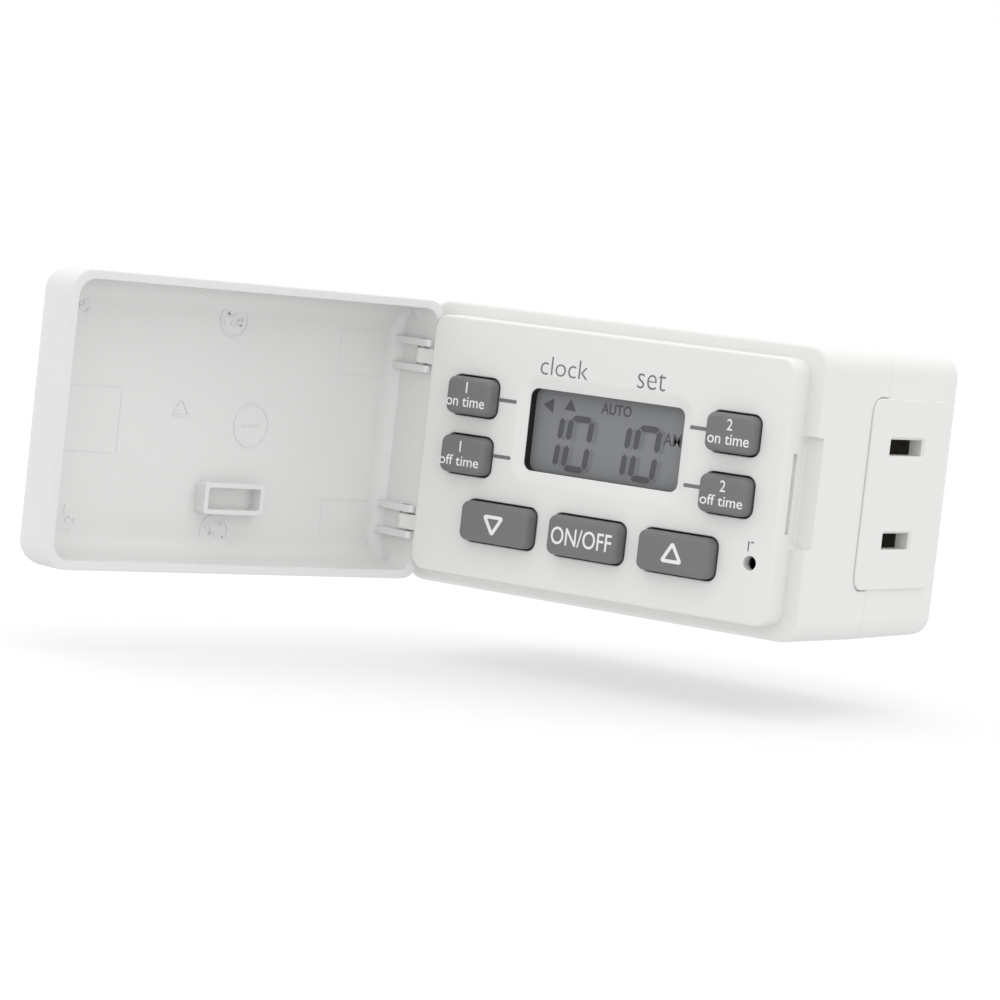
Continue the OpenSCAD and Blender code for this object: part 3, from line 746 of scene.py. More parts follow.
    def _pilots(self) -> list[Solid]:
        """Make the cutters of the screw holes."""
        at = self.layout
        return [Solid.rod("pilot", Axis.Y, 1.1, at.seam_y - 10, at.seam_y + 1, spot)
                for spot in at.screw_spots()]


@dataclass
class RearCasing:
    """Rear shell with both outlet pads, the blade holes and the screw wells."""

    layout: Layout
    rear_wall: float = 2.2
    blade_t: float = 1.7
    well_r: float = 2.1
    well_depth: float = 6.0

    def build(self) -> None:
        """Build the shell and dress it."""
        at = self.layout
        back = Section(-2, at.width - 0.1, at.height - 0.1, at.case_r)
        seam = Section(at.seam_y + 0.15, at.width + 0.24, at.height + 0.24, at.case_r + 0.1)
        skin = [seam.grown(-0.13, at.seam_y), seam, *reversed(rounded_end(0, back, 0.7))]
        shell = Solid.loft("rear_casing_shell", Axis.Y, skin)
        pads = [OutletPad(at, side) for side in (-1, 1)]
        hollow = Section(at.seam_y - 1, at.width - 2 * at.case_wall, at.height - 2 * at.case_wall,
                         at.hollow_r)
        cutter = Solid.loft("hollow", Axis.Y, [hollow, hollow.grown(0, -self.rear_wall)])
        shell.combine(Operation.CUT, [cutter])
        bosses = [Solid.rod("boss", Axis.Y, 2.9, at.seam_y + 0.05, -self.rear_wall / 2, spot)
                  for spot in at.screw_spots()]
        shell.combine(Operation.FUSE, [*(pad.solid() for pad in pads), *bosses])
        shell.combine(Operation.CUT, [*(cut for pad in pads for cut in pad.slots()), *self._blade_holes(),
                                      *self._wells()])
        shell.piece(CASING_ABS, CASING_BODY, ["rear_casing"], "casing_abs")

    def _blade_holes(self) -> list[Solid]:
        """Make the cutters that the blades pass through."""
        made = []
        for middle, width in ((middle_mm("neutral_blade").x, 8.14), (self.layout.slot_pitch / 2, 6.55)):
            section = Section(-self.rear_wall - 1, self.blade_t, width, 0.1)
            made.append(Solid.loft("blade_hole", Axis.Y, flared_mouth(0, section, 0.15) + [section],
                                   (middle, 0), 2))
        return made

    def _wells(self) -> list[Solid]:
        """Make the cutters of the screw wells and their shank holes."""
        at, made = self.layout, []
        for centre in at.screw_spots():
            section = Section(-self.well_depth, 2 * self.well_r, 2 * self.well_r, self.well_r)
            made.append(Solid.loft("well", Axis.Y, flared_mouth(0, section, 0.2) + [section], centre))
            made.append(Solid.rod("shank_hole", Axis.Y, 1.35, at.seam_y - 1, -1, centre))
        return made


@dataclass
class Cover:
    """Flip cover, drawn closed and then swung open about its hinge."""

    layout: Layout
    wall: float = 1.25
    floor: float = 0.9
    depth: float = 8.8
    corner_r: float = 3.1
    edge_r: float = 4.3
    rim_gap: float = 0.2
    post_w: float = 10.2
    post_h: float = 4.3
    post_wall: float = 0.7
    slot_half: float = 1.16
    open_deg: float = 103.7
    bowl_r: float = 3.4
    bowl_reach: float = 1.0

    def __post_init__(self) -> None:
        """Work out the cover's planes."""
        at = self.layout
        self.rim_y = at.flange_y - self.rim_gap
        self.face_y = self.rim_y - self.depth
        self.floor_y = self.face_y + self.floor
        self.height = at.height - 0.4
        self.post_end_y = at.plateau_y - 2.05

    def build(self) -> None:
        """Build the cover and its moulded marks, and dress them."""
        at = self.layout
        outer = Section(self.face_y + 4, at.width, self.height, self.corner_r)
        skin = rounded_end(self.face_y, outer, self.edge_r, 8)
        rim = Section(self.rim_y - 1, at.width, self.height, self.corner_r)
        skin += reversed(rounded_end(self.rim_y, rim, 0.22, 3))
        skin = [Section(s.depth, s.width, s.height, max(s.radius, 1.4)) for s in skin]
        shell = Solid.loft("cover_shell", Axis.Y, skin, steps=10)
        inner = Section(self.floor_y, at.width - 2 * self.wall, self.height - 2 * self.wall,
                        self.corner_r - self.wall / 2)
        mouth = ((0.2, 1.0), (0.2, 0.0), (0.06, -0.07), (0.0, -0.22))
        cutter = [inner.grown(grow, self.rim_y + depth) for grow, depth in mouth]
        cutter.append(inner.grown(-0.1, self.floor_y + self.bowl_r))
        shell.combine(Operation.CUT, [Solid.loft("tray", Axis.Y, cutter, steps=10), self._bowl(inner)])
        shell.combine(Operation.CUT, self._finger_slots())
        shell.combine(Operation.FUSE, [self._post(), self._catch(), *self._lugs()])
        shell.combine(Operation.CUT, [self._post_hole(), *self._pin_holes(), self._eased_rim()])
        shell.turn(self.swing())
        shell.piece(COVER_PC, COVER_BODY, ["lid"], "casing_abs")
        CoverMarks(self).build()

    def swing(self) -> Matrix:
        """Give the matrix that opens the cover, in millimetres."""
        pivot = Matrix.Translation(self.layout.hinge)
        return pivot @ Matrix.Rotation(-math.radians(self.open_deg), 4, "Z") @ pivot.inverted()

    def _bowl(self, inner: Section) -> Solid:
        """Make the cutter of the curved floor, which meets the hinge wall at a crisp corner."""
        wall_x = self.wall - self.layout.width / 2
        floor = Section(self.floor_y + 4, inner.width - 0.2 + self.bowl_reach, inner.height - 0.2,
                        inner.radius)
        sections = [floor.grown(0, self.floor_y + self.bowl_r + 0.1),
                    *reversed(rounded_end(self.floor_y, floor, self.bowl_r, 8))]
        bowl = Solid.loft("bowl", Axis.Y, sections, (-self.bowl_reach / 2, 0), 10)
        bowl.combine(Operation.CUT, [Solid.block("hinge_side", (wall_x - 5, self.floor_y - 5, -self.height),
                                                 (wall_x + 0.1, self.rim_y, self.height))])
        return bowl

    def _finger_slots(self) -> list[Solid]:
        """Make the cutters that let the hinge fingers in."""
        at, made = self.layout, []
        for sign in (-1, 1):
            low, high = sign * at.finger_z - self.slot_half, sign * at.finger_z + self.slot_half
            made.append(Solid.block("finger_slot", (at.hinge.x - 2.2, at.hinge.y, low),
                                    (at.hinge.x + 0.3, self.rim_y + 1, high)))
            made.append(Solid.rod("finger_slot", Axis.Z, 1.35, low, high, (at.hinge.x, at.hinge.y)))
        return made

    def _post(self) -> Solid:
        """Make the hollow post's block."""
        section = Section(self.floor_y - 0.3, self.post_w, self.post_h, 0.6)
        end = reversed(rounded_end(self.post_end_y, section, 0.18, 2))
        return Solid.loft("post", Axis.Y, [section, *end], self._post_place(), 5)

    def _post_place(self) -> tuple[float, float]:
        """Give the middle of the hollow post."""
        return (self.layout.mid_x - 3, middle_mm("key_on_off").z - 0.1)

    def _post_hole(self) -> Solid:
        """Make the cutter of the post's hollow."""
        section = Section(self.floor_y, self.post_w - 2 * self.post_wall,
                          self.post_h - 2 * self.post_wall, 0.3)
        return Solid.loft("post_hole", Axis.Y, flared_mouth(self.post_end_y, section, 0.12) + [section],
                          self._post_place(), 4)

    def _catch(self) -> Solid:
        """Make the ridge that drops into the casing's groove."""
        at = self.layout
        inner_x = at.width / 2 - self.wall
        ridge = Section(0, 1.8, 0.8, 0.35)
        return Solid.loft("catch", Axis.Z, both_ends_rounded(-4.8, 4.8, ridge, 0.15),
                          (inner_x + 0.2, at.plateau_y + 2.6), 3)

    def _lugs(self) -> list[Solid]:
        """Make the four lugs that carry the pins."""
        at, made = self.layout, []
        wall_x = self.wall - at.width / 2
        low_x, high_x = wall_x - 0.3, wall_x + 1.1
        low_y, high_y = self.floor_y - 0.2, at.hinge.y + 1.9
        lug = Section(0, high_x - low_x, high_y - low_y, 0.5)
        for sign, side in corner_signs():
            middle = sign * at.finger_z + side * 1.8
            made.append(Solid.loft("lug", Axis.Z, both_ends_rounded(middle - 0.5, middle + 0.5, lug, 0.12),
                                   ((low_x + high_x) / 2, (low_y + high_y) / 2), 4))
        return made

    def _pin_holes(self) -> list[Solid]:
        """Make the cutters of the pin holes."""
        at, half = self.layout, 2.33
        return [Solid.rod("pin_hole", Axis.Z, 0.65, middle - half, middle + half, (at.hinge.x, at.hinge.y))
                for middle in (-at.finger_z, at.finger_z)]

    def _eased_rim(self) -> Solid:
        """Make the cutter that eases the hinge wall's rim where it swings past the flange."""
        edge = -self.layout.width / 2
        wedge = [(edge + u, self.rim_y + v) for u, v in ((-0.8, 0), (0, -0.8), (0.8, 0), (0, 0.8))]
        return Solid.skin("eased_rim", Axis.Z, [(wedge, -self.layout.height), (wedge, self.layout.height)])


def ring_points(centre: tuple[float, float], radius: float, count: int) -> Outline:
    """List points on a circle, anticlockwise."""
    return [(centre[0] + radius * math.cos(2 * math.pi * i / count),
             centre[1] + radius * math.sin(2 * math.pi * i / count)) for i in range(count)]


def shrunk(corners: Outline, scale: float) -> Outline:
    """Scale a polygon about the middle of its corners."""
    middle = sum((Vector(c) for c in corners), Vector((0, 0))) / len(corners)
    return [tuple(middle + (Vector(c) - middle) * scale) for c in corners]


def rounded_corners(corners: Outline, radius: float, steps: int = 5) -> Outline:
    """Round the corners of a polygon by arcs about its own corner points.

    Args:
        corners: Centres of the arcs, anticlockwise.
        radius: Radius of the arcs.
        steps: Facets in each arc.

    Returns:
        The outline.
    """
    points = []
    for i, corner in enumerate(corners):
        before, after = Vector(corners[i - 1]), Vector(corners[(i + 1) % len(corners)])
        here = Vector(corner)
        first = (here - before).normalized()
        last = (after - here).normalized()
        start = math.atan2(-first.x, first.y)
        turn = math.atan2(first.x * last.y - first.y * last.x, first.dot(last))
        points += [(here.x + radius * math.cos(start + turn * k / steps),
                    here.y + radius * math.sin(start + turn * k / steps)) for k in range(steps + 1)]
    return points


class Plates:
    """A set of thin plates that lie in one plane facing the front, built as one mesh."""

    def __init__(self, name: str, low_y: float, high_y: float) -> None:
        """Start an empty set between two depths, in millimetres."""
        self.name, self.low_y, self.high_y = name, low_y, high_y
        self.shape = bmesh.new()

    def plate(self, outline: Outline) -> "Plates":
        """Add one plate of that outline."""
        low, high = self._loop(outline, self.low_y), self._loop(outline, self.high_y)
        self._walls(low, high)
        self.shape.faces.new(low)
        self.shape.faces.new(reversed(high))
        return self

    def band(self, outer: Outline, inner: Outline) -> "Plates":
        """Add one closed band between two outlines that have the same number of points."""
        loops = [self._loop(outer, self.low_y), self._loop(outer, self.high_y),
                 self._loop(inner, self.high_y), self._loop(inner, self.low_y)]
        for low, high in zip(loops, loops[1:] + loops[:1]):
            self._walls(low, high)
        return self

    def _loop(self, outline: Outline, depth: float) -> list[bmesh.types.BMVert]:
        """Add an outline's points at one depth."""
        return [self.shape.verts.new((u, depth, v)) for u, v in outline]

    def _walls(self, low: list[bmesh.types.BMVert], high: list[bmesh.types.BMVert]) -> None:
        """Join two loops by a strip of faces."""
        for i in range(len(low)):
            j = (i + 1) % len(low)
            self.shape.faces.new((low[i], low[j], high[j], high[i]))

    def solid(self) -> Solid:
        """Close the set as a solid."""
        return Solid(self.name, self.shape)


@dataclass
class CoverMarks:
    """Faint moulded marks on the cover's inner floor: gates, a triangle, a dial and witness lines."""

    cover: Cover
    line: float = 0.2
    proud: float = 0.14
    gates: tuple[tuple[float, float], ...] = ((-1.0, 14.0), (-1.2, -14.6))
    corners: tuple[tuple[float, float], ...] = ((24.4, 14.3), (24.1, -13.5))
    seed: int = 7

    def build(self) -> None:
        """Build the marks and dress them."""
        marks = self._plates("cover_moulded_marks", self.proud)
        marks.band(ring_points((-5.7, 0), 3.0, 48), ring_points((-5.7, 0), 3.0 - self.line, 48))
        marks.plate([(-7.2, -0.09), (-4.9, -0.09), (-4.9, 0.09), (-7.2, 0.09)])
        marks.plate([(-4.9, -0.35), (-4.1, 0.0), (-4.9, 0.35)])
        triangle = [(5.4, 1.0), (7.4, 1.0), (6.4, 2.6)]
        marks.band(rounded_corners(triangle, 0.32), rounded_corners(triangle, 0.12))
        for centre in self.gates:
            marks.band(ring_points(centre, 2.4, 40), ring_points(centre, 2.4 - self.line, 40))
        self._finish(marks)
        self._witness_lines()
        self._gate_scars()

    def _plates(self, name: str, proud: float) -> Plates:
        """Start a set of marks that stand proud of the floor."""
        return Plates(name, self.cover.floor_y - 0.1, self.cover.floor_y + proud)

    def _finish(self, marks: Plates) -> None:
        """Swing a set of marks open with the cover and dress it."""
        marks.solid().turn(self.cover.swing()).piece(COVER_PC, COVER_BODY, slot="casing_abs")

    def _witness_lines(self) -> None:
        """Build the hairline steps left by the mould's inserts."""
        marks, hair = self._plates("cover_witness_lines", 0.06), 0.08
        for left, low, right, high in ((16.3, -4.7, 27.0, 4.0), (-27.9, 7.8, -19.8, 14.0),
                                       (-29.0, -15.4, -19.5, -9.5)):
            outer = [(left, low), (right, low), (right, high), (left, high)]
            inner = [(left + hair, low + hair), (right - hair, low + hair), (right - hair, high - hair),
                     (left + hair, high - hair)]
            marks.band(outer, inner)
        self._finish(marks)

    def _gate_scars(self) -> None:
        """Build the rough patches inside the two gate rings and by the free corners."""
        draw = random.Random(self.seed)
        marks = self._plates("cover_gate_scars", 0.12)
        patches = [(gate, 1.9, 14) for gate in self.gates] + [(corner, 2.2, 9) for corner in self.corners]
        for centre, reach, count in patches:
            for _ in range(count):
                angle, away = draw.uniform(0, 2 * math.pi), reach * math.sqrt(draw.random())
                spot = (centre[0] + away * math.cos(angle), centre[1] + away * math.sin(angle))
                size = draw.uniform(0.18, 0.4)
                marks.plate(ring_points(spot, size, draw.choice((5, 6, 7))))
        self._finish(marks)


# ---- prints ----


@dataclass(frozen=True)
class Lettering:
    """A short printed word: its width, height and place, in millimetres."""

    name: str
    words: str
    width: float
    height: float
    weight: float = 0.0

    def build(self, place: Vector, finish: Finish, body: str, proud: float = 0.02) -> bpy.types.Object:
        """Print the word on a face that looks to the front.

        Args:
            place: Middle of the word on the face, in millimetres.
            finish: Its ink.
            body: CAD body that it rides on.
            proud: Thickness of the ink.

        Returns:
            The finished object.
        """
        curve = bpy.data.curves.new(self.name, "FONT")
        curve.body = self.words
        curve.offset = self.weight
        curve.extrude = 0.5
        curve.resolution_u = 4
        holder = bpy.data.objects.new(self.name, curve)
        bpy.context.scene.collection.objects.link(holder)
        mesh = bpy.data.meshes.new_from_object(holder.evaluated_get(bpy.context.evaluated_depsgraph_get()))
        bpy.data.objects.remove(holder)
        bpy.data.curves.remove(curve)
        xs, ys = [v.co.x for v in mesh.vertices], [v.co.y for v in mesh.vertices]
        middle = Vector(((min(xs) + max(xs)) / 2, (min(ys) + max(ys)) / 2, 0))
        size = Vector((self.width / (max(xs) - min(xs)), self.height / (max(ys) - min(ys)), proud + 0.02, 1))
        upright = Matrix.Rotation(math.pi / 2, 4, "X")
        face = Vector((place.x, place.y + 0.01 - proud / 2, place.z))
        mesh.transform(Matrix.Scale(MM, 4) @ Matrix.Translation(face) @ upright @ Matrix.Diagonal(size)
                       @ Matrix.Translation(-middle))
        mesh.materials.clear()
        mesh.materials.append(finish.build())
        word = bpy.data.objects.new(self.name, mesh)
        bpy.context.scene.collection.objects.link(word)
        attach(word, body)
        LOG.info("%s: %s on %s", word.name, self.words, body)
        return word


# ---- keys ----


class Legend(Enum):
    """What is printed on a key."""

    WORDS = "words"
    DOWN = "down"
    UP = "up"


@dataclass
class RubberKey:
    """One rubber key with its print."""

    node: str
    legend: Legend
    lines: tuple[tuple[str, float, float, float], ...] = ()
    shift: float = 0.05
    corner_r: float = 1.15
    edge_r: float = 0.75
    flange: float = 0.5
    flange_y: float = -38.9

    @property
    def middle(self) -> Vector:
        """Middle of the key."""
        return middle_mm(self.node)

    @property
    def size(self) -> Vector:
        """Width, depth and height of the key's cap, without its flange."""
        low, high = box_mm(self.node)
        return high - low - 2 * Vector((self.flange, 0, self.flange))

    def build(self) -> None:
        """Build the key and its print, and dress them."""
        low, high = box_mm(self.node)
        size, middle = self.size, self.middle
        cap = Section(self.flange_y, size.x, size.z, self.corner_r)
        stem = Section(self.flange_y + 0.7, size.x - 2, size.z - 2, 0.7)
        sections = rounded_end(low.y, cap.grown(-0.06, low.y + 1), self.edge_r, 6) + [cap]
        sections += [cap.grown(self.flange, self.flange_y + 0.01), cap.grown(self.flange, stem.depth), stem,
                     stem.grown(0, high.y)]
        body = self.node
        Solid.loft(self.node + "_cap", Axis.Y, sections, (middle.x, middle.z), 7).piece(
            KEY_RUBBER, body, [self.node], "key_rubber")
        face = Vector((middle.x, low.y, middle.z))
        if self.legend is Legend.WORDS:
            for i, (words, width, height, lift) in enumerate(self.lines):
                Lettering(f"{self.node}_print_{i + 1}", words, width, height, 0.006).build(
                    face + Vector((self.shift, 0, lift)), INK_WHITE, body)
        else:
            self._triangle(face, 1 if self.legend is Legend.UP else -1)

    def _triangle(self, face: Vector, way: int) -> None:
        """Print an outlined triangle that points up or down.

        Args:
            face: Middle of the key's face.
            way: 1 for up, -1 for down.
        """
        corners = [(face.x - 1.2, face.z - way * 0.85), (face.x + 1.2, face.z - way * 0.85),
                   (face.x, face.z + way * 1.1)]
        if way < 0:
            corners.reverse()
        mark = Plates(self.node + "_print", face.y - 0.02, face.y + 0.02)
        mark.band(rounded_corners(corners, 0.36), rounded_corners(shrunk(corners, 0.7), 0.08))
        mark.solid().piece(INK_WHITE, self.node, slot="key_rubber")


NUMBER_WIDTHS = {1: 0.24, 2: 0.85}


def small_key(number: int, word: str) -> RubberKey:
    """Describe a small key of programme 1 or 2.

    Args:
        number: The programme.
        word: "on" or "off".

    Returns:
        The key.
    """
    lines = ((str(number), NUMBER_WIDTHS[number], 1.5, 1.15),
             (f"{word} time", 5.9 + 0.2 * len(word), 1.4, -0.8))
    return RubberKey(f"key_{word}_time_{number}", Legend.WORDS, lines, -0.25 if number == 1 else 0.15)


KEYS = [small_key(1, "on"), small_key(1, "off"), small_key(2, "on"), small_key(2, "off"),
        RubberKey("key_down", Legend.DOWN), RubberKey("key_up", Legend.UP),
        RubberKey("key_on_off", Legend.WORDS, (("ON/OFF", 9.6, 2.4, 0.0),))]


# ---- display and panel ----


@dataclass
class Display:
    """Black surround, polariser and the liquid crystal's figures."""

    layout: Layout
    digit_w: float = 3.3
    digit_h: float = 6.8
    stroke: float = 0.85
    gap: float = 0.22
    slant: float = math.tan(math.radians(5))
    shadow: tuple[float, float] = (0.75, -0.1)

    def build(self) -> None:
        """Build the surround and the figures, and dress them."""
        self._surround()
        at = self.layout
        glass_y = box_mm("front_polarizer")[0].y
        layers = (("lcd_half_shadow", LCD_SHADOW_SOFT, 1.0, 0.004, 0.16),
                  ("lcd_shadow", LCD_SHADOW, 0.9, 0.008, 0.02), ("lcd_figures", LCD_DARK, 0.0, INK_T, 0.0))
        for name, finish, shift, low, grow in layers:
            plates = Plates(name, glass_y - low, glass_y + 0.002)
            move = (self.shadow[0] * shift, self.shadow[1] * shift)
            for centre_x in (-4.25, 6.5):
                self._number(plates, centre_x + move[0], at.display.z - 1.25 + move[1], grow)
            plates.solid().piece(finish, CASING_BODY, slot="lcd_front")
        marks = Plates("lcd_pointers", glass_y - INK_T, glass_y + 0.002)
        marks.plate([(-10.4, 7.15), (-8.75, 6.1), (-8.75, 8.1)])
        marks.plate([(-7.0, 6.75), (-5.1, 6.75), (-6.05, 8.35)])
        marks.solid().piece(LCD_DARK, CASING_BODY, slot="lcd_front")
        for word, x, z in ((Lettering("lcd_auto", "AUTO", 4.8, 1.5, 0.02), 1.3, 7.7),
                           (Lettering("lcd_am", "AM", 2.75, 1.7, 0.006), 10.5, 4.8)):
            word.build(Vector((x, glass_y, z)), LCD_DARK, CASING_BODY, INK_T)

    def _surround(self) -> None:
        """Build the black wall round the display."""
        at = self.layout
        low, high = box_mm("display_bezel")
        front = at.plateau_y + 0.68
        flange = Section(high.y, high.x - low.x, high.z - low.z, 0.6)
        collar = Section(front + 0.5, at.window_w + 0.5, at.window_h + 0.5, at.window_r + 0.25)
        shelf = at.plateau_y + 1.65
        sections = rounded_end(front, collar, 0.12, 2) + [collar.grown(0, shelf)]
        sections += [flange.grown(0, shelf + 0.01), flange]
        surround = Solid.loft("display_surround", Axis.Y, sections, at.window_at)
        hole = Section(high.y + 1, at.window_w, at.window_h, at.window_r)
        view = Solid.loft("view", Axis.Y, flared_mouth(front, hole, 0.1) + [hole], at.window_at)
        surround.combine(Operation.CUT, [view])
        surround.piece(BEZEL_BLACK, CASING_BODY, ["display_bezel"], "bezel_black")

    def _number(self, plates: Plates, x: float, z: float, grow: float) -> None:
        """Add a one and a nought in slanted segments.

        Args:
            plates: Set that takes the segments.
            x: Middle of the nought.
            z: Middle of the figures.
            grow: Extra width of each segment.
        """
        half_w, half_h = self.digit_w / 2, self.digit_h / 2
        left, right = x - half_w, x + half_w
        one = left - 1.4
        upright = [(one, 1), (one, -1), (left, 1), (left, -1), (right, 1), (right, -1)]
        for at_x, sign in upright:
            self._segment(plates, (at_x, z + sign * self.gap), (at_x, z + sign * half_h), z, grow)
        for sign in (1, -1):
            self._segment(plates, (left, z + sign * half_h), (right, z + sign * half_h), z, grow)

    def _segment(self, plates: Plates, start: tuple[float, float], end: tuple[float, float], z: float,
                 grow: float) -> None:
        """Add one pointed segment between two corners of a figure.

        Args:
            plates: Set that takes the segment.
            start: First corner.
            end: Second corner.
            z: Height about which the figures slant.
            grow: Extra width on each side.
        """
        a, b = Vector(start), Vector(end)
        along = (b - a).normalized()
        across = Vector((-along.y, along.x)) * (self.stroke / 2 + grow)
        a, b = a + along * self.gap / 2, b - along * self.gap / 2
        nib = self.stroke / 2
        points = [a - along * grow, a + along * nib - across, b - along * nib - across, b + along * grow,
                  b - along * nib + across, a + along * nib + across]
        plates.plate([(p.x + (p.y - z) * self.slant, p.y) for p in points])


@dataclass
class PanelPrint:
    """Grey print on the plateau: two words, the reset letter and the key pointers."""

    layout: Layout

    def build(self) -> None:
        """Print the words; the pointers are repeated by their own tree."""
        face = self.layout.plateau_y
        for name, words, width, height, x, z in (("print_clock", "clock", 7.6, 2.5, -6.4, 12.45),
                                                 ("print_set", "set", 4.4, 2.3, 7.5, 12.25),
                                                 ("print_reset", "r", 0.85, 1.35, 25.35, -7.3)):
            Lettering(name, words, width, height, -0.012).build(Vector((x, face, z)), INK_GREY, CASING_BODY)


class GridOfCopies:
    """Geometry Nodes tree that repeats a prototype at the nodes of an upright grid."""

    def __init__(self) -> None:
        """Build the tree, with a named input for each size."""
        self.tree = bpy.data.node_groups.new("grid_of_copies", "GeometryNodeTree")
        self.sockets: dict[str, str] = {}
        for name, kind in (("Geometry", "NodeSocketGeometry"), ("Prototype", "NodeSocketObject"),
                           ("Spacing Across", "NodeSocketFloat"), ("Spacing Up", "NodeSocketFloat"),
                           ("Centre", "NodeSocketVector"), ("Material", "NodeSocketMaterial")):
            socket = self.tree.interface.new_socket(name, in_out="INPUT", socket_type=kind)
            self.sockets[name] = socket.identifier
        self.tree.interface.new_socket("Geometry", in_out="OUTPUT", socket_type="NodeSocketGeometry")
        given = add_node(self.tree, "NodeGroupInput").outputs
        grid = add_node(self.tree, "GeometryNodeMeshGrid", {"Vertices X": 2, "Vertices Y": 2},
                        {"Size X": given["Spacing Across"], "Size Y": given["Spacing Up"]})
        upright = add_node(self.tree, "GeometryNodeTransform", {"Rotation": (math.pi / 2, 0, 0)},
                           {"Geometry": grid.outputs["Mesh"], "Translation": given["Centre"]})
        prototype = add_node(self.tree, "GeometryNodeObjectInfo", {"As Instance": True},
                             {"Object": given["Prototype"]})
        copies = add_node(self.tree, "GeometryNodeInstanceOnPoints", None,
                          {"Points": upright.outputs["Geometry"], "Instance": prototype.outputs["Geometry"]})
        real = add_node(self.tree, "GeometryNodeRealizeInstances", None,
                        {"Geometry": copies.outputs["Instances"]})
        dressed = add_node(self.tree, "GeometryNodeSetMaterial", None,
                           {"Geometry": real.outputs["Geometry"], "Material": given["Material"]})
        add_node(self.tree, "NodeGroupOutput", None, {"Geometry": dressed.outputs["Geometry"]})

    def repeat(self, name: str, prototype: Solid, spacing: tuple[float, float], centre: Vector,
               finish: Finish, replaces: Iterable[str] = (), slot: str = "") -> bpy.types.Object:
        """Repeat a prototype, drawn at the origin, at the four corners of a rectangle.

        Args:
            name: Name of the piece.
            prototype: The shape to repeat, which is used up.
            spacing: Width and height of the rectangle, in millimetres.
            centre: Middle of the rectangle, in millimetres.
            finish: Surface of the copies.
            replaces: CAD nodes that the piece stands for.
            slot: Material slot of the record, handed on to the piece, which does not use it.

        Returns:
            The finished object.
        """
        holder = bpy.data.objects.new(name, bpy.data.meshes.new(name))
        bpy.context.scene.collection.objects.link(holder)
        modifier = holder.modifiers.new("copies", "NODES")
        modifier.node_group = self.tree
        values = {"Prototype": prototype.obj, "Spacing Across": spacing[0], "Spacing Up": spacing[1],
                  "Centre": tuple(centre), "Material": finish.build()}
        for key, value in values.items():
            modifier[self.sockets[key]] = value
        copies = Solid(name, bmesh.new())
        empty = copies.obj.data
        copies.obj.data = bpy.data.meshes.new_from_object(
            holder.evaluated_get(bpy.context.evaluated_depsgraph_get()))
        bpy.data.meshes.remove(empty)
        spare = holder.data
        bpy.data.objects.remove(holder)
        bpy.data.meshes.remove(spare)
        prototype.discard()
        copies.obj.name = name
        return copies.piece(finish, CASING_BODY, replaces, slot)


def screw_prototype(node: str, head_r: float, shank_r: float, head_t: float) -> tuple[Solid, Vector]:
    """Draw one cross-recessed screw on the Y axis, its head at the back.

    Args:
        node: CAD node of the four screws.
        head_r: Radius of the head.
        shank_r: Radius of the shank.
        head_t: Thickness of the head.

    Returns:
        The screw and the spacing of the four, in millimetres.
    """
    low, high = box_mm(node)
    head = Section(high.y - 0.5, 2 * head_r, 2 * head_r, head_r)
    under = high.y - head_t
    sections = [Section(low.y, 0.5 * shank_r, 0.5 * shank_r, 0.25 * shank_r),
                Section(low.y + shank_r, 2 * shank_r, 2 * shank_r, shank_r),
                Section(under - 0.01, 2 * shank_r, 2 * shank_r, shank_r), head.grown(0, under),
                *reversed(rounded_end(high.y, head, 0.45, 3))]
    screw = Solid.loft(node + "_one", Axis.Y, sections)
    recess, arm = [], 1.155 * head_r
    for width, height in ((arm, 0.5), (0.5, arm)):
        floor = Section(high.y - 0.8, width, height, 0.08)
        sides = [floor.grown(0.05, high.y + 0.5), floor.grown(-0.06, floor.depth)]
        recess.append(Solid.loft("recess", Axis.Y, sides, steps=2))
    screw.combine(Operation.CUT, recess)
    span = high - low - 2 * Vector((head_r, 0, head_r))
    return screw, span


def build_repeats(at: Layout) -> None:
    """Build the casing screws, board screws and key pointers with one tree."""
    copies = GridOfCopies()
    for node, head_r, shank_r, head_t in (("case_screws", 2.0, 1.25, 1.4), ("board_screws", 1.7, 0.9, 1.0)):
        screw, span = screw_prototype(node, head_r, shank_r, head_t)
        middle = middle_mm(node)
        copies.repeat(node + "_zinc", screw, (span.x, span.z), Vector((middle.x, 0, middle.z)),
                      ZINC_STEEL, [node], "screw_steel")
    pointer = Section(at.plateau_y - 0.02, 2.9, 0.5, 0.22)
    stroke = Solid.loft("pointer", Axis.Y, [pointer, pointer.grown(0, at.plateau_y + 0.02)], steps=4)
    copies.repeat("print_pointers", stroke, (30.5, 7.65), Vector((0.35, 0, 3.15)), INK_GREY,
                  slot="bezel_black")


# ---- plug and inner pieces ----


@dataclass
class EasedCopy:
    """A CAD node's shape with its sharp edges eased, as stamping and moulding leave them."""

    node: str
    finish: Finish
    slot: str
    ease: float = 0.15

    def build(self, body: str = CASING_BODY) -> None:
        """Copy the node's mesh, ease its edges and dress it."""
        shape = bmesh.new()
        shape.from_mesh(frame["nodes"][self.node].data)
        bmesh.ops.scale(shape, vec=(1 / MM,) * 3, verts=shape.verts)
        bmesh.ops.remove_doubles(shape, verts=shape.verts, dist=0.001)
        bmesh.ops.dissolve_limit(shape, angle_limit=math.radians(1), verts=shape.verts,
                                 edges=shape.edges)
        solid = Solid(self.node + "_eased", shape)
        modifier = solid.obj.modifiers.new("ease", "BEVEL")
        modifier.width = self.ease
        modifier.segments = 2
        modifier.limit_method = "ANGLE"
        modifier.angle_limit = math.radians(40)
        solid.apply()
        solid.piece(self.finish, body, [self.node], self.slot)


PLUG_PIECES = [EasedCopy(node, BRASS, "contact_brass") for node in ("line_blade", "neutral_blade")]

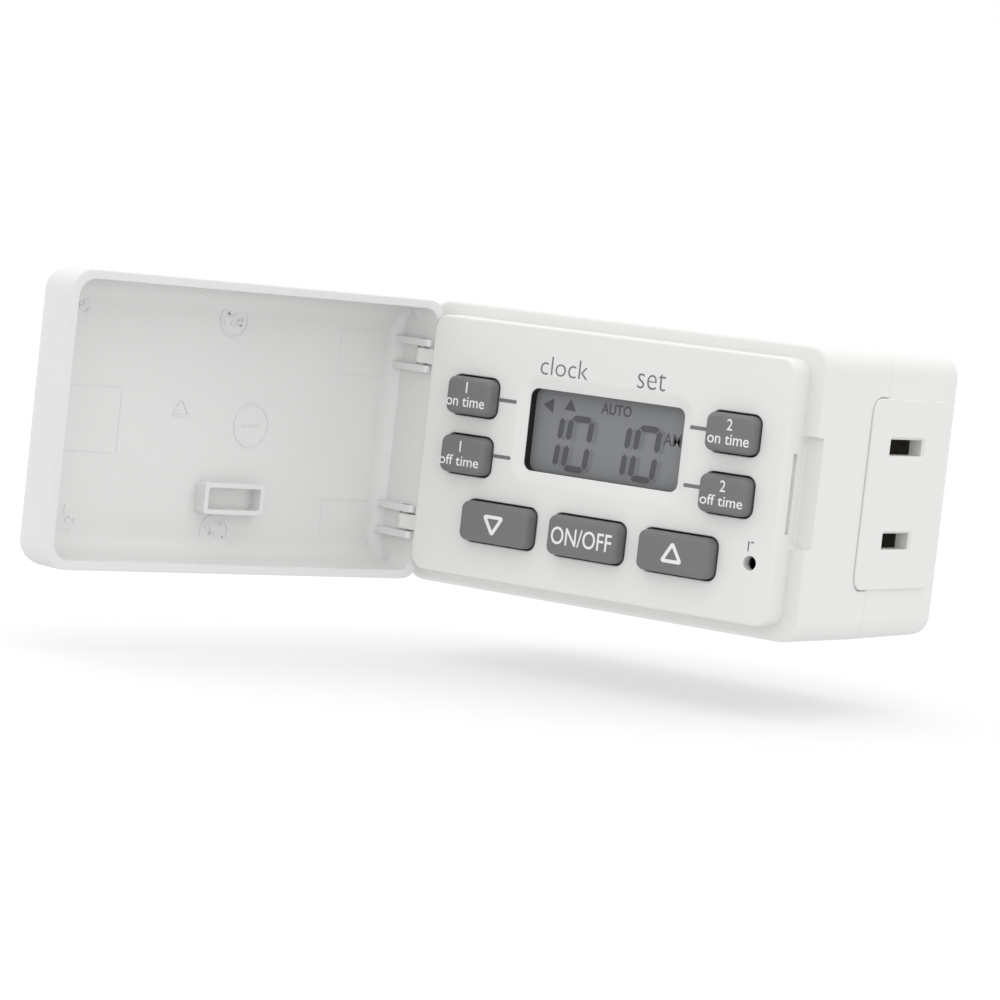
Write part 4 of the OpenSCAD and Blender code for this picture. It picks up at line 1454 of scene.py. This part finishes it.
INNER_FINISHES = {
    KEY_RUBBER: ("keypad_web",),
    LCD_FILM: ("front_polarizer",),
    GLASS_CELL: ("lcd_glass",),
    REFLECTOR: ("lcd_reflector",),
    BEZEL_BLACK: ("lcd_frame", "reset_plunger", "board_link"),
    ZEBRA: ("zebra_strip",),
    SOLDER_MASK: ("control_board",),
    GOLD_PADS: ("key_contacts",),
    EPOXY_BLACK: ("control_chip", "rectifier_diodes"),
    NICKEL_CAN: ("clock_crystal", "reset_switch_body", "backup_cell", "relay_core", "relay_yoke",
                 "relay_armature"),
    BRASS: ("cell_tabs", "relay_contact_spring", "relay_fixed_contacts", "neutral_strip", "line_strip"),
    PHENOLIC_PAPER: ("power_board",),
    RELAY_PBT: ("relay_base", "relay_case"),
    COIL_COPPER: ("relay_coil",),
    FILM_YELLOW: ("dropper_capacitor",),
    SLEEVE_DARK: ("filter_capacitor",),
    RESISTOR_LACQUER: ("series_resistor",),
    VARISTOR_BLUE: ("surge_varistor",),
    PHENOLIC_BLACK: ("blade_holder",),
    PVC_BLACK: ("line_lead",),
}


def dress_inner_nodes() -> None:
    """Give each CAD node that stays its own material."""
    for finish, nodes in INNER_FINISHES.items():
        material = finish.build()
        for node in nodes:
            mesh = frame["nodes"][node].data
            mesh.materials.clear()
            mesh.materials.append(material)
            LOG.info("%s: CAD shape in %s", node, finish.name)


# ---- studio ----


@dataclass
class Studio:
    """Camera, lights, world and floor."""

    aim: Vector = field(default_factory=lambda: Vector((-0.0152, -0.0396, -0.0066)))
    distance: float = 0.5224
    azimuth: float = math.radians(33.77)
    elevation: float = math.radians(4.135)
    roll: float = math.radians(6.355)
    lens: float = 138.24
    floor_drop: float = 0.0105
    floor_half: float = 0.4
    box_size: float = 0.9
    box_power: float = 0.3
    box_place: Vector = field(default_factory=lambda: Vector((0.05, -0.2, 0.8)))
    fill: float = 1.0
    overhead: float = 0.5

    def build(self) -> None:
        """Set up the studio."""
        self._camera()
        self._world()
        self._light()
        self._floor()

    def _camera(self) -> None:
        """Place the camera at its azimuth, elevation and roll."""
        sin_a, cos_a = math.sin(self.azimuth), math.cos(self.azimuth)
        sin_e, cos_e = math.sin(self.elevation), math.cos(self.elevation)
        forward = Vector((-sin_a * cos_e, cos_a * cos_e, -sin_e))
        level = Vector((cos_a, sin_a, 0))
        right = level * math.cos(self.roll) + level.cross(forward) * math.sin(self.roll)
        up = right.cross(forward)
        data = bpy.data.cameras.new("camera")
        data.lens = self.lens
        data.sensor_width = 36.0
        data.clip_start, data.clip_end = 0.01, 20.0
        camera = bpy.data.objects.new("camera", data)
        turn = Matrix((right, up, -forward)).transposed()
        camera.matrix_world = Matrix.Translation(self.aim - forward * self.distance) @ turn.to_4x4()
        bpy.context.scene.collection.objects.link(camera)
        bpy.context.scene.camera = camera

    def _world(self) -> None:
        """Make a white tent that is brightest overhead, and plain white behind the object."""
        world = bpy.data.worlds.new("studio")
        bpy.context.scene.world = world
        world.use_nodes = True
        tree = world.node_tree
        tree.nodes.clear()
        way = add_node(tree, "ShaderNodeTexCoord").outputs["Generated"]
        height = add_node(tree, "ShaderNodeSeparateXYZ", None, {0: way}).outputs["Z"]
        above = add_node(tree, "ShaderNodeMath", {"operation": "MULTIPLY", 1: 1.0, "use_clamp": True},
                         {0: height}).outputs[0]
        square = add_node(tree, "ShaderNodeMath", {"operation": "MULTIPLY"}, {0: above, 1: above}).outputs[0]
        scale = {"operation": "MULTIPLY_ADD", 1: self.overhead, 2: self.fill}
        strength = add_node(tree, "ShaderNodeMath", scale, {0: square}).outputs[0]
        seen = add_node(tree, "ShaderNodeLightPath").outputs["Is Camera Ray"]
        lit = add_node(tree, "ShaderNodeMix", {3: 1.0}, {0: seen, 2: strength}).outputs[0]
        back = add_node(tree, "ShaderNodeBackground", {"Color": (1, 1, 1, 1)}, {"Strength": lit})
        add_node(tree, "ShaderNodeOutputWorld", None, {"Surface": back.outputs[0]})
        bpy.context.scene.view_settings.view_transform = "Standard"

    def _light(self) -> None:
        """Hang the soft box overhead."""
        data = bpy.data.lights.new("soft_top", "AREA")
        data.shape = "SQUARE"
        data.size = self.box_size
        data.energy = self.box_power
        light = bpy.data.objects.new("soft_top", data)
        light.location = self.box_place
        light.rotation_mode = "QUATERNION"
        light.rotation_quaternion = (self.aim - self.box_place).to_track_quat("-Z", "Y")
        bpy.context.scene.collection.objects.link(light)

    def _floor(self) -> None:
        """Lay a plain pale floor that glows a little and takes the soft shadow."""
        shape = bmesh.new()
        bmesh.ops.create_grid(shape, x_segments=1, y_segments=1, size=self.floor_half)
        place = (0, -self.floor_half / 2, CAD_LOW.z - self.floor_drop)
        bmesh.ops.translate(shape, vec=place, verts=shape.verts)
        mesh = bpy.data.meshes.new("floor")
        shape.to_mesh(mesh)
        shape.free()
        floor = bpy.data.objects.new("floor", mesh)
        mesh.materials.append(PAPER_WHITE.build())
        bpy.context.scene.collection.objects.link(floor)
        floor.visible_diffuse = False
        floor.visible_glossy = False


def main() -> None:
    """Build the timer's looks in order and report each piece."""
    logging.basicConfig(level=logging.INFO, format="%(name)s: %(message)s")
    Studio().build()
    layout = Layout()
    FrontCasing(layout).build()
    RearCasing(layout).build()
    Cover(layout).build()
    for key in KEYS:
        key.build()
    Display(layout).build()
    PanelPrint(layout).build()
    build_repeats(layout)
    for piece in PLUG_PIECES:
        piece.build()
    dress_inner_nodes()
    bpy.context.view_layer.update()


if __name__ == "__main__":
    main()
